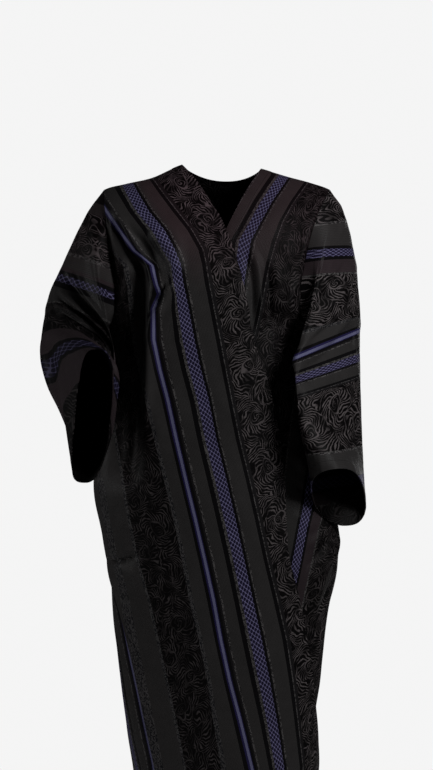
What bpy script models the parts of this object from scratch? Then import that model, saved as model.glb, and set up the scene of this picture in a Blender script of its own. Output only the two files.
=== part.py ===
"""A wide wrap abaya in its worn form: two fronts that cross, a back and two wide sleeves.

Metres, +Z up, and the front faces -Y. The wearer's right is at -X. The origin is at the middle of the
neck, level with the shoulder seam. Each piece is a thin wall of cloth made from a grid of points.
Pieces that are sewn together share their edge points, drawn back a little from the seam.
"""

from collections import namedtuple

import bpy
import numpy as np

# Cloth
WALL = 0.0018
EDGE_DRAWN_BACK = 0.0003
SLEEVE_DRAWN_BACK = 0.0006
SLIT_GAP = 0.0012
LAYER_STEP = 0.0045

# Levels
UNDERARM_LEVEL = -0.340
HEM_LEVEL = -1.435
RIGHT_SLIT_TOP = -0.794
LEFT_SLIT_TOP = -0.745

# Roundness of the horizontal section, and of the shoulder from the seam down to the chest
SECTION_POWER = 2.3
FRONT_DROP_AT_NECK = 0.200
FRONT_DROP_AT_TIP = 0.090
BACK_DROP_AT_NECK = 0.120
BACK_DROP_AT_TIP = 0.085
BACK_NECK_SCOOP = 0.036
TIP_SHARE = 0.85

# Slits: how far the back reaches under a front's edge, over what height it slips under, and the
# levels between which the left front's side sinks under the wrap
UNDERLAP = 0.020
SLIP_UNDER_HEIGHT = 0.036
UNDERLAP_HEIGHT = 0.110
SIDE_LAYERS_FROM = -0.800
SIDE_LAYERS_BY = -0.880

# Turns and falls over which a layer eases under its neighbour
WRAP_EASE_TURN = np.radians(30)
WRAP_EASE_FALL = 0.30
SIDE_EASE_TURN = np.radians(50)
LEFT_SIDE_FROM = np.radians(150)
RIGHT_SIDE_FROM = np.radians(210)

# Grid sizes
SHOULDER_ROWS = 6
CHEST_ROWS = 6
SHOULDER_SHARE = 0.34
BODY_ROW_HEIGHT = 0.036
RIGHT_FRONT_COLUMNS = 17
LEFT_FRONT_COLUMNS = 14
NECK_COLUMNS = 6
RINGS_PER_SECTION = 3

QUARTER = np.pi / 2
BODY_MIDDLE = (-0.020, 0.000, -0.700)

# The body's horizontal sections: extreme left and right, and depth of front and back
Section = namedtuple("Section", "z left right front back")
BODY_SECTIONS = (
    Section(0.020, -0.290, 0.245, 0.098, 0.080),
    Section(-0.050, -0.290, 0.245, 0.104, 0.092),
    Section(-0.180, -0.268, 0.222, 0.126, 0.114),
    Section(-0.280, -0.248, 0.188, 0.134, 0.114),
    Section(-0.340, -0.238, 0.165, 0.133, 0.110),
    Section(-0.430, -0.246, 0.170, 0.130, 0.108),
    Section(-0.540, -0.259, 0.188, 0.129, 0.118),
    Section(-0.648, -0.268, 0.205, 0.131, 0.130),
    Section(-0.740, -0.251, 0.223, 0.132, 0.135),
    Section(-0.794, -0.242, 0.224, 0.132, 0.135),
    Section(-0.908, -0.233, 0.206, 0.130, 0.132),
    Section(-1.028, -0.219, 0.193, 0.128, 0.129),
    Section(-1.120, -0.207, 0.181, 0.126, 0.127),
    Section(-1.208, -0.194, 0.182, 0.124, 0.125),
    Section(-1.435, -0.180, 0.176, 0.120, 0.122),
)

# The shoulder seam, and its run across the neck that only the back's depth follows
ShoulderPoint = namedtuple("ShoulderPoint", "x z")
SHOULDER_LINE = (
    ShoulderPoint(-0.290, -0.078),
    ShoulderPoint(-0.248, -0.048),
    ShoulderPoint(-0.204, -0.036),
    ShoulderPoint(-0.152, -0.024),
    ShoulderPoint(-0.092, 0.002),
    ShoulderPoint(-0.013, 0.012),
    ShoulderPoint(0.066, -0.006),
    ShoulderPoint(0.120, -0.022),
    ShoulderPoint(0.168, -0.035),
    ShoulderPoint(0.204, -0.048),
    ShoulderPoint(0.245, -0.078),
)
RIGHT_NECK_POINT = -0.092
LEFT_NECK_POINT = 0.066

# Armholes: the share of the way down from the shoulder, and x on the front and on the back
Armhole = namedtuple("Armhole", "share front back")
RIGHT_ARMHOLE = (
    Armhole(0.00, -0.2480, -0.2480),
    Armhole(0.20, -0.2440, -0.2420),
    Armhole(0.46, -0.2370, -0.2340),
    Armhole(0.75, -0.2270, -0.2270),
    Armhole(0.90, -0.2310, -0.2310),
    Armhole(1.00, -0.2380, -0.2380),
)
LEFT_ARMHOLE = (
    Armhole(0.00, 0.2040, 0.2040),
    Armhole(0.17, 0.1820, 0.1880),
    Armhole(0.34, 0.1660, 0.1760),
    Armhole(0.55, 0.1520, 0.1650),
    Armhole(0.75, 0.1440, 0.1570),
    Armhole(0.90, 0.1500, 0.1580),
    Armhole(1.00, 0.1650, 0.1650),
)

# Free edges seen from the front
EdgePoint = namedtuple("EdgePoint", "x z")
RIGHT_FRONT_EDGE = (
    EdgePoint(-0.0920, 0.0020),
    EdgePoint(-0.0575, -0.0420),
    EdgePoint(-0.0259, -0.0929),
    EdgePoint(-0.0046, -0.1338),
    EdgePoint(0.0187, -0.1997),
    EdgePoint(0.0400, -0.2888),
    EdgePoint(0.0535, -0.3624),
    EdgePoint(0.0748, -0.4206),
    EdgePoint(0.1000, -0.5368),
    EdgePoint(0.1097, -0.6221),
    EdgePoint(0.1194, -0.7771),
    EdgePoint(0.1468, -0.8939),
    EdgePoint(0.1617, -0.9757),
    EdgePoint(0.1715, -1.0586),
)
LEFT_FRONT_EDGE = (
    EdgePoint(0.0660, -0.0060),
    EdgePoint(0.0430, -0.0420),
    EdgePoint(0.0150, -0.0929),
    EdgePoint(-0.0046, -0.1338),
    EdgePoint(-0.0300, -0.2000),
    EdgePoint(-0.0550, -0.3000),
    EdgePoint(-0.0750, -0.4200),
    EdgePoint(-0.0850, -0.6000),
    EdgePoint(-0.0850, -0.9000),
    EdgePoint(-0.0800, -1.4350),
)
RIGHT_SLIT_EDGE = (
    EdgePoint(-0.2260, -0.8500),
    EdgePoint(-0.2140, -0.8860),
    EdgePoint(-0.1993, -0.9400),
    EdgePoint(-0.1750, -1.0440),
    EdgePoint(-0.1553, -1.1360),
    EdgePoint(-0.1400, -1.2100),
    EdgePoint(-0.1180, -1.4350),
)
LEFT_SLIT_EDGE = (
    EdgePoint(0.2050, -0.7900),
    EdgePoint(0.1848, -0.8520),
    EdgePoint(0.1740, -0.9200),
    EdgePoint(0.1640, -0.9900),
    EdgePoint(0.1730, -1.0700),
)

# Angles of the two edges that end up on the left side, where a front view can't place them
EdgeAngle = namedtuple("EdgeAngle", "z degrees")
RIGHT_FRONT_EDGE_ROUND = (EdgeAngle(-1.170, 92.0), EdgeAngle(-1.435, 106.0))
LEFT_SLIT_EDGE_ROUND = (EdgeAngle(-1.170, 84.0), EdgeAngle(-1.435, 88.0))

# The largest folds of the body, each a bend through three points seen from the front
Fold = namedtuple("Fold", "x_from z_from x_mid z_mid x_to z_to width rise")
RIGHT_FRONT_FOLDS = (
    Fold(-0.178, -0.205, -0.205, -0.420, -0.205, -0.600, 0.026, -0.022),
    Fold(-0.242, -0.062, -0.190, -0.140, -0.130, -0.240, 0.024, 0.009),
    Fold(-0.160, -0.150, -0.122, -0.215, -0.136, -0.268, 0.014, -0.007),
    Fold(-0.150, -0.290, -0.152, -0.420, -0.140, -0.560, 0.028, 0.006),
    Fold(-0.238, -0.788, -0.218, -0.780, -0.196, -0.784, 0.012, -0.005),
)
LEFT_FRONT_FOLDS = (
    Fold(0.182, -0.090, 0.150, -0.190, 0.120, -0.280, 0.022, 0.006),
    Fold(0.050, -0.190, 0.070, -0.250, 0.085, -0.310, 0.015, -0.004),
)
BACK_FOLDS = (
    Fold(-0.210, -0.070, -0.160, -0.160, -0.120, -0.270, 0.026, 0.008),
    Fold(0.165, -0.070, 0.130, -0.170, 0.095, -0.280, 0.024, 0.007),
    Fold(-0.200, -0.330, -0.180, -0.560, -0.165, -0.820, 0.028, -0.012),
    Fold(0.125, -0.360, 0.140, -0.560, 0.140, -0.780, 0.026, -0.010),
    Fold(-0.070, -0.420, -0.066, -0.800, -0.085, -1.150, 0.036, 0.010),
    Fold(0.045, -0.460, 0.040, -0.860, 0.060, -1.250, 0.032, -0.008),
)
FOLD_FADE_AT_EDGE = 0.07
FOLD_STEPS = 4

# Sleeve sections: points on the outer line, the front wall, the inner line and the rear wall.
# The front wall of the raised right sleeve turns inwards after the elbow, and its rear wall outwards.
SleeveSection = namedtuple("SleeveSection", "outer front inner rear squareness")
RIGHT_SLEEVE = (
    SleeveSection(
        outer=(-0.284, 0.002, -0.098),
        front=(-0.250, -0.094, -0.222),
        inner=(-0.250, -0.012, -0.354),
        rear=(-0.264, 0.082, -0.212),
        squareness=1.00,
    ),
    SleeveSection(
        outer=(-0.323, 0.006, -0.184),
        front=(-0.240, -0.116, -0.290),
        inner=(-0.264, -0.034, -0.388),
        rear=(-0.300, 0.078, -0.270),
        squareness=1.00,
    ),
    SleeveSection(
        outer=(-0.349, 0.000, -0.258),
        front=(-0.226, -0.138, -0.354),
        inner=(-0.272, -0.064, -0.440),
        rear=(-0.334, 0.040, -0.348),
        squareness=1.00,
    ),
    SleeveSection(
        outer=(-0.330, -0.076, -0.312),
        front=(-0.217, -0.160, -0.410),
        inner=(-0.268, -0.098, -0.505),
        rear=(-0.370, -0.030, -0.410),
        squareness=1.10,
    ),
    SleeveSection(
        outer=(-0.290, -0.170, -0.346),
        front=(-0.216, -0.202, -0.455),
        inner=(-0.268, -0.148, -0.580),
        rear=(-0.332, -0.112, -0.466),
        squareness=0.95,
    ),
    SleeveSection(
        outer=(-0.247, -0.258, -0.370),
        front=(-0.221, -0.235, -0.494),
        inner=(-0.276, -0.198, -0.624),
        rear=(-0.291, -0.218, -0.492),
        squareness=0.66,
    ),
)
LEFT_SLEEVE = (
    SleeveSection(
        outer=(0.231, 0.000, -0.092),
        front=(0.168, -0.104, -0.228),
        inner=(0.186, -0.006, -0.350),
        rear=(0.190, 0.090, -0.222),
        squareness=1.00,
    ),
    SleeveSection(
        outer=(0.250, 0.000, -0.170),
        front=(0.158, -0.124, -0.285),
        inner=(0.190, -0.036, -0.370),
        rear=(0.212, 0.092, -0.270),
        squareness=1.00,
    ),
    SleeveSection(
        outer=(0.256, 0.000, -0.266),
        front=(0.145, -0.146, -0.340),
        inner=(0.173, -0.074, -0.396),
        rear=(0.234, 0.082, -0.335),
        squareness=1.00,
    ),
    SleeveSection(
        outer=(0.253, -0.010, -0.366),
        front=(0.144, -0.162, -0.400),
        inner=(0.153, -0.100, -0.432),
        rear=(0.238, 0.068, -0.415),
        squareness=1.00,
    ),
    SleeveSection(
        outer=(0.253, -0.045, -0.516),
        front=(0.156, -0.178, -0.505),
        inner=(0.158, -0.114, -0.545),
        rear=(0.243, 0.010, -0.565),
        squareness=0.95,
    ),
    SleeveSection(
        outer=(0.266, -0.085, -0.645),
        front=(0.204, -0.190, -0.598),
        inner=(0.163, -0.116, -0.655),
        rear=(0.239, -0.048, -0.716),
        squareness=0.85,
    ),
)

# Folds across the sleeves: shares of the way round from the outer line and of the way to the cuff
SleeveFold = namedtuple("SleeveFold", "round_from along_from round_to along_to width rise")
RIGHT_SLEEVE_FOLDS = (
    SleeveFold(0.04, 0.56, 0.24, 0.74, 0.024, 0.008),
    SleeveFold(0.06, 0.40, 0.26, 0.60, 0.024, -0.008),
)
LEFT_SLEEVE_FOLDS = (
    SleeveFold(0.04, 0.50, 0.34, 0.60, 0.024, 0.007),
    SleeveFold(0.02, 0.64, 0.30, 0.74, 0.024, -0.007),
)

# Looks
Cloth = namedtuple("Cloth", "red green blue roughness")
FRONT_CLOTH = Cloth(0.012, 0.012, 0.016, 0.62)
BACK_CLOTH = Cloth(0.010, 0.010, 0.013, 0.66)
SLEEVE_CLOTH = Cloth(0.014, 0.013, 0.018, 0.62)


def clear_scene():
    for item in list(bpy.data.objects):
        bpy.data.objects.remove(item, do_unlink=True)


def smooth_curve(knots, values, at):
    """A smooth curve through (knots, values), read at any points; it stays level past both ends."""
    knots = np.asarray(knots, float)
    values = np.asarray(values, float)
    steps = np.diff(knots)
    slopes = np.diff(values, axis=0) / steps.reshape((-1,) + (1,) * (values.ndim - 1))
    tangents = np.zeros_like(values)
    for i in range(1, len(knots) - 1):
        share = steps[i - 1] / (steps[i - 1] + steps[i])
        tangents[i] = slopes[i - 1] * (1 - share) + slopes[i] * share
    tangents[0] = slopes[0]
    tangents[-1] = slopes[-1]
    at = np.clip(at, knots[0], knots[-1])
    i = np.clip(np.searchsorted(knots, at, side="right") - 1, 0, len(knots) - 2)
    shape = np.shape(at) + (1,) * (values.ndim - 1)
    span = steps[i].reshape(shape)
    t = ((at - knots[i]).reshape(shape)) / span
    start = (2 * t**3 - 3 * t**2 + 1) * values[i] + (t**3 - 2 * t**2 + t) * span * tangents[i]
    end = (3 * t**2 - 2 * t**3) * values[i + 1] + (t**3 - t**2) * span * tangents[i + 1]
    return start + end


def ease(x):
    """0 below 0, 1 above 1, and smooth between."""
    x = np.clip(x, 0.0, 1.0)
    return x * x * (3 - 2 * x)


def column(table, name):
    return np.array([getattr(row, name) for row in table])


def body_section(z, name):
    """One column of the body's sections at level z."""
    levels = -column(BODY_SECTIONS, "z")
    return smooth_curve(levels, column(BODY_SECTIONS, name), -np.asarray(z, float))


def seam_height(x):
    """Height of the shoulder seam, run on across the neck."""
    return smooth_curve(column(SHOULDER_LINE, "x"), column(SHOULDER_LINE, "z"), np.asarray(x, float))


def back_top(x):
    """The back's upper edge: the shoulder seam, scooped between the neck points."""
    middle = (RIGHT_NECK_POINT + LEFT_NECK_POINT) / 2
    half = (LEFT_NECK_POINT - RIGHT_NECK_POINT) / 2
    inside = np.clip(1 - ((x - middle) / half) ** 2, 0, 1)
    return seam_height(x) - BACK_NECK_SCOOP * inside


def section_across(angle):
    """Share of the half width at an angle round the body."""
    return np.sign(np.sin(angle)) * np.abs(np.sin(angle)) ** (2 / SECTION_POWER)


def section_deep(angle):
    """Share of the depth at an angle round the body, positive towards the front."""
    return np.sign(np.cos(angle)) * np.abs(np.cos(angle)) ** (2 / SECTION_POWER)


def angle_of(x, z):
    """The angle on the front half where the section at level z reaches x."""
    left = body_section(z, "left")
    right = body_section(z, "right")
    share = np.clip((x - (left + right) / 2) / ((right - left) / 2), -1, 1)
    return np.sign(share) * np.arcsin(np.abs(share) ** (SECTION_POWER / 2))


def body_point(angle, fall, back=False):
    """A point of the body's outer face.

    The angle is 0 at the front's middle and a quarter turn at the left side. fall runs from 0 on the
    shoulder to 1 at the underarm and 2 at the hem.
    """
    top = back_top if back else seam_height
    below = UNDERARM_LEVEL + (HEM_LEVEL - UNDERARM_LEVEL) * (fall - 1)
    z = np.where(fall < 1, UNDERARM_LEVEL * fall, below)
    x = np.zeros_like(z)
    for _ in range(8):
        left = body_section(z, "left")
        right = body_section(z, "right")
        x = (left + right) / 2 + (right - left) / 2 * section_across(angle)
        on_yoke = top(x) * (1 - fall) + UNDERARM_LEVEL * fall
        z = np.where(fall < 1, on_yoke, below)
    deep = section_deep(angle)
    to_tip = np.clip(np.abs(section_across(angle)) / TIP_SHARE, 0, 1)
    front_drop = FRONT_DROP_AT_NECK + (FRONT_DROP_AT_TIP - FRONT_DROP_AT_NECK) * to_tip
    back_drop = BACK_DROP_AT_NECK + (BACK_DROP_AT_TIP - BACK_DROP_AT_NECK) * to_tip
    share = np.clip((seam_height(x) - z) / np.where(deep > 0, front_drop, back_drop), 0, 1)
    rounding = np.where(fall < 1, np.sqrt(1 - (1 - share) ** 2), 1.0)
    depth = np.where(deep > 0, body_section(z, "front"), body_section(z, "back"))
    return np.stack([x, -deep * depth * rounding, z], axis=-1)


def fall_of(x, z):
    """The fall of a front point, from its x and its height."""
    on_yoke = (seam_height(x) - z) / (seam_height(x) - UNDERARM_LEVEL)
    below = 1 + (z - UNDERARM_LEVEL) / (HEM_LEVEL - UNDERARM_LEVEL)
    return np.where(z > UNDERARM_LEVEL, on_yoke, below)


def level_fall(z):
    """The fall of a level below the underarm."""
    return 1 + (z - UNDERARM_LEVEL) / (HEM_LEVEL - UNDERARM_LEVEL)


def front_edge_angle(fall, edge, rounded=()):
    """The angle of a free edge at each fall, from its front view and from its last angles."""
    x = column(edge, "x")
    z = column(edge, "z")
    falls = list(fall_of(x, z))
    angles = list(angle_of(x, z))
    for row in rounded:
        falls.append(level_fall(row.z))
        angles.append(np.radians(row.degrees))
    return smooth_curve(falls, angles, fall)


def armhole_angle(fall, armhole, name):
    """The angle of an armhole edge, measured as on the front half."""
    share = column(armhole, "share")
    x = column(armhole, name)
    top = seam_height(x)
    angles = angle_of(x, top * (1 - share) + UNDERARM_LEVEL * share)
    angles[-1] = np.sign(angles[-1]) * QUARTER
    return smooth_curve(share, angles, np.clip(fall, 0, 1))


def slit_edge_angle(fall, side, slit_top, edge, rounded=()):
    """The angle of a front's side edge below the underarm: on the side seam, then along the slit."""
    falls = [level_fall(slit_top)] + [level_fall(p.z) for p in edge]
    angles = [side * QUARTER] + [float(angle_of(p.x, p.z)) for p in edge]
    for row in rounded:
        falls.append(level_fall(row.z))
        angles.append(np.radians(row.degrees))
    below = smooth_curve(falls, angles, fall)
    return np.where(fall <= falls[0], side * QUARTER, below)


def under_edge_angle(fall, front_angle, side, slit_top):
    """The back's side edge: on the seam above the slit, then under the front's edge."""
    z = UNDERARM_LEVEL + (HEM_LEVEL - UNDERARM_LEVEL) * (fall - 1)
    half_width = (body_section(z, "right") - body_section(z, "left")) / 2
    down = slit_top - z
    parted = SLIT_GAP * ease(down / SLIP_UNDER_HEIGHT)
    reach = UNDERLAP * ease((down - SLIP_UNDER_HEIGHT) / UNDERLAP_HEIGHT) - parted
    return np.where(down > 0, front_angle - side * reach / half_width, front_angle)


def row_falls(slit_tops):
    """The rows of every body panel: close on the shoulder's round, even below, one at each slit top."""
    bend = np.linspace(0, QUARTER, SHOULDER_ROWS + 1)
    yoke = list(SHOULDER_SHARE * (1 - np.cos(bend)))
    yoke += list(np.linspace(SHOULDER_SHARE, 1, CHEST_ROWS + 1)[1:])
    stops = [UNDERARM_LEVEL] + sorted(slit_tops, reverse=True) + [HEM_LEVEL]
    levels = []
    for upper, lower in zip(stops, stops[1:]):
        count = max(1, round((upper - lower) / BODY_ROW_HEIGHT))
        levels += list(np.linspace(upper, lower, count + 1)[1:])
    return np.array(yoke + [level_fall(z) for z in levels])


def spread(start, end, share):
    """Rows of angles, each from its start to its end by the same shares."""
    return start[:, None] * (1 - share) + end[:, None] * share


def grid_normals(points, closed=False):
    """Unit normals of a grid of points; closed means that its columns run all the way round."""
    if closed:
        around = (np.roll(points, -1, axis=1) - np.roll(points, 1, axis=1)) / 2
    else:
        around = np.gradient(points, axis=1)
    along = np.gradient(points, axis=0)
    normals = np.cross(around, along)
    return normals / np.linalg.norm(normals, axis=-1, keepdims=True)


def facing_out(normals, points, axis_point):
    """Turns all the normals round if they point at the wearer."""
    outward = np.sum(normals * (points - axis_point)) > 0
    return normals if outward else -normals


def distance_to_line(flat, start, end):
    """Distance of points in a plane to the stretch from start to end."""
    start = np.asarray(start, float)
    run = np.asarray(end, float) - start
    share = np.clip(((flat - start) @ run) / (run @ run), 0, 1)
    return np.linalg.norm(flat - start - share[..., None] * run, axis=-1)


def distance_to_bend(flat, fold):
    """Distance of points in a plane to the smooth bend through a fold's three points."""
    knots = [(fold.x_from, fold.z_from), (fold.x_mid, fold.z_mid), (fold.x_to, fold.z_to)]
    bend = smooth_curve(np.arange(3), np.array(knots), np.linspace(0, 2, 2 * FOLD_STEPS + 1))
    away = [distance_to_line(flat, start, end) for start, end in zip(bend, bend[1:])]
    return np.min(away, axis=0)


def body_folds(points, folds):
    """How far the folds lift each point of a body panel."""
    flat = points[..., [0, 2]]
    rise = np.zeros(points.shape[:2])
    for fold in folds:
        rise += fold.rise * np.exp(-((distance_to_bend(flat, fold) / fold.width) ** 2))
    columns = np.linspace(0, 1, points.shape[1])
    fade = ease(columns / FOLD_FADE_AT_EDGE) * ease((1 - columns) / FOLD_FADE_AT_EDGE)
    rows = ease(np.arange(points.shape[0]) / SHOULDER_ROWS)
    return rise * fade * rows[:, None]


def body_panel(angles, falls, folds, sunk, back=False):
    """A body panel's outer face: its grid of points, lifted by its folds and sunk under its neighbour."""
    rows = np.broadcast_to(falls[:, None], angles.shape)
    points = body_point(angles, rows, back)
    normals = facing_out(grid_normals(points), points, np.array(BODY_MIDDLE))
    return points + normals * (body_folds(points, folds) - sunk)[..., None]


def right_front_panel(falls):
    side = np.where(
        falls < 1,
        armhole_angle(falls, RIGHT_ARMHOLE, "front"),
        slit_edge_angle(falls, -1, RIGHT_SLIT_TOP, RIGHT_SLIT_EDGE),
    )
    inner = front_edge_angle(falls, RIGHT_FRONT_EDGE, RIGHT_FRONT_EDGE_ROUND)
    angles = spread(side, inner, np.linspace(0, 1, RIGHT_FRONT_COLUMNS + 1))
    return body_panel(angles, falls, RIGHT_FRONT_FOLDS, np.zeros(angles.shape))


def left_front_panel(falls):
    side = np.where(
        falls < 1,
        armhole_angle(falls, LEFT_ARMHOLE, "front"),
        slit_edge_angle(falls, 1, LEFT_SLIT_TOP, LEFT_SLIT_EDGE, LEFT_SLIT_EDGE_ROUND),
    )
    inner = front_edge_angle(falls, LEFT_FRONT_EDGE)
    angles = spread(inner, side, np.linspace(0, 1, LEFT_FRONT_COLUMNS + 1))
    down = fall_levels(falls)[:, None]
    from_side = (side[:, None] - angles) / WRAP_EASE_TURN
    under_wrap = ease(from_side) * ease(falls / WRAP_EASE_FALL)[:, None]
    under_side = side_layers(down)
    sunk = LAYER_STEP * np.maximum(under_wrap, under_side)
    return body_panel(angles, falls, LEFT_FRONT_FOLDS, sunk)


def fall_levels(falls):
    """The level of each fall below the underarm, and the underarm's level above it."""
    return UNDERARM_LEVEL + (HEM_LEVEL - UNDERARM_LEVEL) * np.maximum(falls - 1, 0)


def side_layers(level):
    """How far the left front's side has sunk under the wrap, from 0 to 1."""
    return ease((SIDE_LAYERS_FROM - level) / (SIDE_LAYERS_FROM - SIDE_LAYERS_BY))


def back_shares(left, right):
    """Where the back's columns lie: over the shoulders they meet the fronts' columns."""
    left_neck = np.pi - angle_of(LEFT_NECK_POINT, seam_height(LEFT_NECK_POINT))
    right_neck = np.pi - angle_of(RIGHT_NECK_POINT, seam_height(RIGHT_NECK_POINT))
    stops = (left, left_neck, right_neck, right)
    counts = (LEFT_FRONT_COLUMNS, NECK_COLUMNS, RIGHT_FRONT_COLUMNS)
    angles = [left]
    for start, end, count in zip(stops, stops[1:], counts):
        angles += list(np.linspace(start, end, count + 1)[1:])
    return (np.array(angles) - left) / (right - left)


def back_panel(falls):
    """The back, from the left side round to the right."""
    left_slit = slit_edge_angle(falls, 1, LEFT_SLIT_TOP, LEFT_SLIT_EDGE, LEFT_SLIT_EDGE_ROUND)
    right_slit = slit_edge_angle(falls, -1, RIGHT_SLIT_TOP, RIGHT_SLIT_EDGE)
    left = np.where(
        falls < 1,
        np.pi - armhole_angle(falls, LEFT_ARMHOLE, "back"),
        under_edge_angle(falls, left_slit, 1, LEFT_SLIT_TOP),
    )
    right = np.where(
        falls < 1,
        np.pi - armhole_angle(falls, RIGHT_ARMHOLE, "back"),
        2 * np.pi + under_edge_angle(falls, right_slit, -1, RIGHT_SLIT_TOP),
    )
    angles = spread(left, right, back_shares(left[0], right[0]))
    down = fall_levels(falls)[:, None]
    from_left = ease((LEFT_SIDE_FROM - angles) / SIDE_EASE_TURN)
    from_right = ease((angles - RIGHT_SIDE_FROM) / SIDE_EASE_TURN)
    left_steps = ease((LEFT_SLIT_TOP - down) / SLIP_UNDER_HEIGHT) + side_layers(down)
    right_steps = ease((RIGHT_SLIT_TOP - down) / SLIP_UNDER_HEIGHT)
    sunk = LAYER_STEP * (left_steps * from_left + right_steps * from_right)
    return body_panel(angles, falls, BACK_FOLDS, sunk, back=True)


def ring(section, turns):
    """A sleeve section as a closed curve through its outer, front, inner and rear points."""
    outer = np.array(section.outer)
    front = np.array(section.front)
    inner = np.array(section.inner)
    rear = np.array(section.rear)
    across = np.cos(turns)
    deep = np.sin(turns)
    boxed = section.squareness
    across = np.sign(across) * np.abs(across) ** boxed
    deep = np.sign(deep) * np.abs(deep) ** boxed
    middle = (outer + front + inner + rear) / 4
    points = middle + across[:, None] * (outer - inner) / 2 + deep[:, None] * (front - rear) / 2
    return points + np.cos(2 * turns)[:, None] * (outer - front + inner - rear) / 4


def half_turns(edge):
    """Angles from 0 to half a turn, shared out by the length along an edge."""
    lengths = np.linalg.norm(np.diff(edge, axis=0), axis=1)
    along = np.concatenate([[0], np.cumsum(lengths)])
    return np.pi * along / along[-1]


def sleeve_panel(front_edge, back_edge, sections, folds):
    """A sleeve's outer face: rings from the armhole to the cuff, round from the outer line."""
    armhole = np.concatenate([front_edge, back_edge[::-1][1:-1]])
    turns = np.concatenate([half_turns(front_edge), 2 * np.pi - half_turns(back_edge)[::-1][1:-1]])
    rings = np.array([armhole] + [ring(section, turns) for section in sections])
    count = RINGS_PER_SECTION * len(sections) + 1
    points = smooth_curve(np.arange(len(rings)), rings, np.linspace(0, len(sections), count))
    normals = facing_out(grid_normals(points, closed=True), points, points.mean(axis=1, keepdims=True))
    return points + normals * sleeve_folds(points, turns, folds)[..., None]


def sleeve_folds(points, turns, folds):
    """How far the folds lift each point of a sleeve."""
    along = np.linspace(0, 1, len(points))
    length = np.linalg.norm(np.diff(points, axis=0), axis=-1).sum(axis=0).mean()
    girth = np.linalg.norm(np.diff(points, axis=1), axis=-1).sum(axis=1).mean()
    flat = np.stack(np.meshgrid(turns / (2 * np.pi) * girth, along * length), axis=-1)
    rise = np.zeros(points.shape[:2])
    for fold in folds:
        start = (fold.round_from * girth, fold.along_from * length)
        end = (fold.round_to * girth, fold.along_to * length)
        rise += fold.rise * np.exp(-((distance_to_line(flat, start, end) / fold.width) ** 2))
    return rise * ease(along * 4)[:, None]


def share_seam_normals(panels):
    """Gives the points that sewn pieces share one normal, so that their walls meet in one plane.

    Where both body pieces meet a sleeve, the sleeve counts for as much as the two together.
    """
    shared = {}
    for panel in panels.values():
        for index in np.ndindex(panel["points"].shape[:2]):
            key = tuple(np.round(panel["points"][index] * 1e5).astype(int))
            shared.setdefault(key, []).append((panel, index))
    for meeting in shared.values():
        weights = [max(1, len(meeting) - 1) if panel["closed"] else 1 for panel, index in meeting]
        total = sum(weight * panel["normals"][index] for weight, (panel, index) in zip(weights, meeting))
        total = total / np.linalg.norm(total)
        for panel, index in meeting:
            panel["normals"][index] = total


def pull_inside(edge, inside, closed, step):
    """Short steps from an edge's points into its piece, square to the edge."""
    if closed:
        run = np.roll(edge, -1, axis=0) - np.roll(edge, 1, axis=0)
    else:
        run = np.gradient(edge, axis=0)
    run = run / np.linalg.norm(run, axis=1, keepdims=True)
    pull = inside - edge
    pull = pull - np.sum(pull * run, axis=1, keepdims=True) * run
    return pull / np.linalg.norm(pull, axis=1, keepdims=True) * step


def draw_back(points, closed):
    """Draws a grid's edges back from the seams."""
    drawn = points.copy()
    top_step = SLEEVE_DRAWN_BACK if closed else EDGE_DRAWN_BACK
    drawn[0] += pull_inside(points[0], points[1], closed, top_step)
    drawn[-1] += pull_inside(points[-1], points[-2], closed, EDGE_DRAWN_BACK)
    if not closed:
        drawn[:, 0] += pull_inside(points[:, 0], points[:, 1], False, EDGE_DRAWN_BACK)
        drawn[:, -1] += pull_inside(points[:, -1], points[:, -2], False, EDGE_DRAWN_BACK)
    return drawn


def wall_mesh(name, panel):
    """A closed mesh between a grid of points and the same grid moved in by the wall's thickness."""
    closed = panel["closed"]
    outer = draw_back(panel["points"], closed)
    inner = outer - panel["normals"] * WALL
    rows, columns = outer.shape[:2]
    index = np.arange(rows * columns).reshape(rows, columns)
    if closed:
        index = np.concatenate([index, index[:, :1]], axis=1)
    under = index + rows * columns
    faces = []
    for i in range(index.shape[0] - 1):
        for j in range(index.shape[1] - 1):
            faces.append((index[i, j], index[i + 1, j], index[i + 1, j + 1], index[i, j + 1]))
            faces.append((under[i, j], under[i, j + 1], under[i + 1, j + 1], under[i + 1, j]))
    for j in range(index.shape[1] - 1):
        faces.append((index[0, j], index[0, j + 1], under[0, j + 1], under[0, j]))
        faces.append((index[-1, j], under[-1, j], under[-1, j + 1], index[-1, j + 1]))
    if not closed:
        for i in range(index.shape[0] - 1):
            faces.append((index[i, 0], under[i, 0], under[i + 1, 0], index[i + 1, 0]))
            faces.append((index[i, -1], index[i + 1, -1], under[i + 1, -1], under[i, -1]))
    points = np.concatenate([outer.reshape(-1, 3), inner.reshape(-1, 3)])
    if signed_volume(points, faces) < 0:
        faces = [face[::-1] for face in faces]
    mesh = bpy.data.meshes.new(name)
    mesh.from_pydata(points.tolist(), [], [tuple(int(i) for i in face) for face in faces])
    mesh.update()
    return mesh


def signed_volume(points, faces):
    """Six times the volume that the faces enclose, negative when they face in."""
    corners = points[np.array(faces)]
    first = np.einsum("ij,ij->i", corners[:, 0], np.cross(corners[:, 1], corners[:, 2]))
    second = np.einsum("ij,ij->i", corners[:, 0], np.cross(corners[:, 2], corners[:, 3]))
    return float(first.sum() + second.sum())


def cloth_material(name, cloth):
    material = bpy.data.materials.new(name)
    material.use_nodes = True
    shader = material.node_tree.nodes["Principled BSDF"]
    shader.inputs["Base Color"].default_value = (cloth.red, cloth.green, cloth.blue, 1)
    shader.inputs["Roughness"].default_value = cloth.roughness
    shader.inputs["Metallic"].default_value = 0.0
    return material


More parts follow.
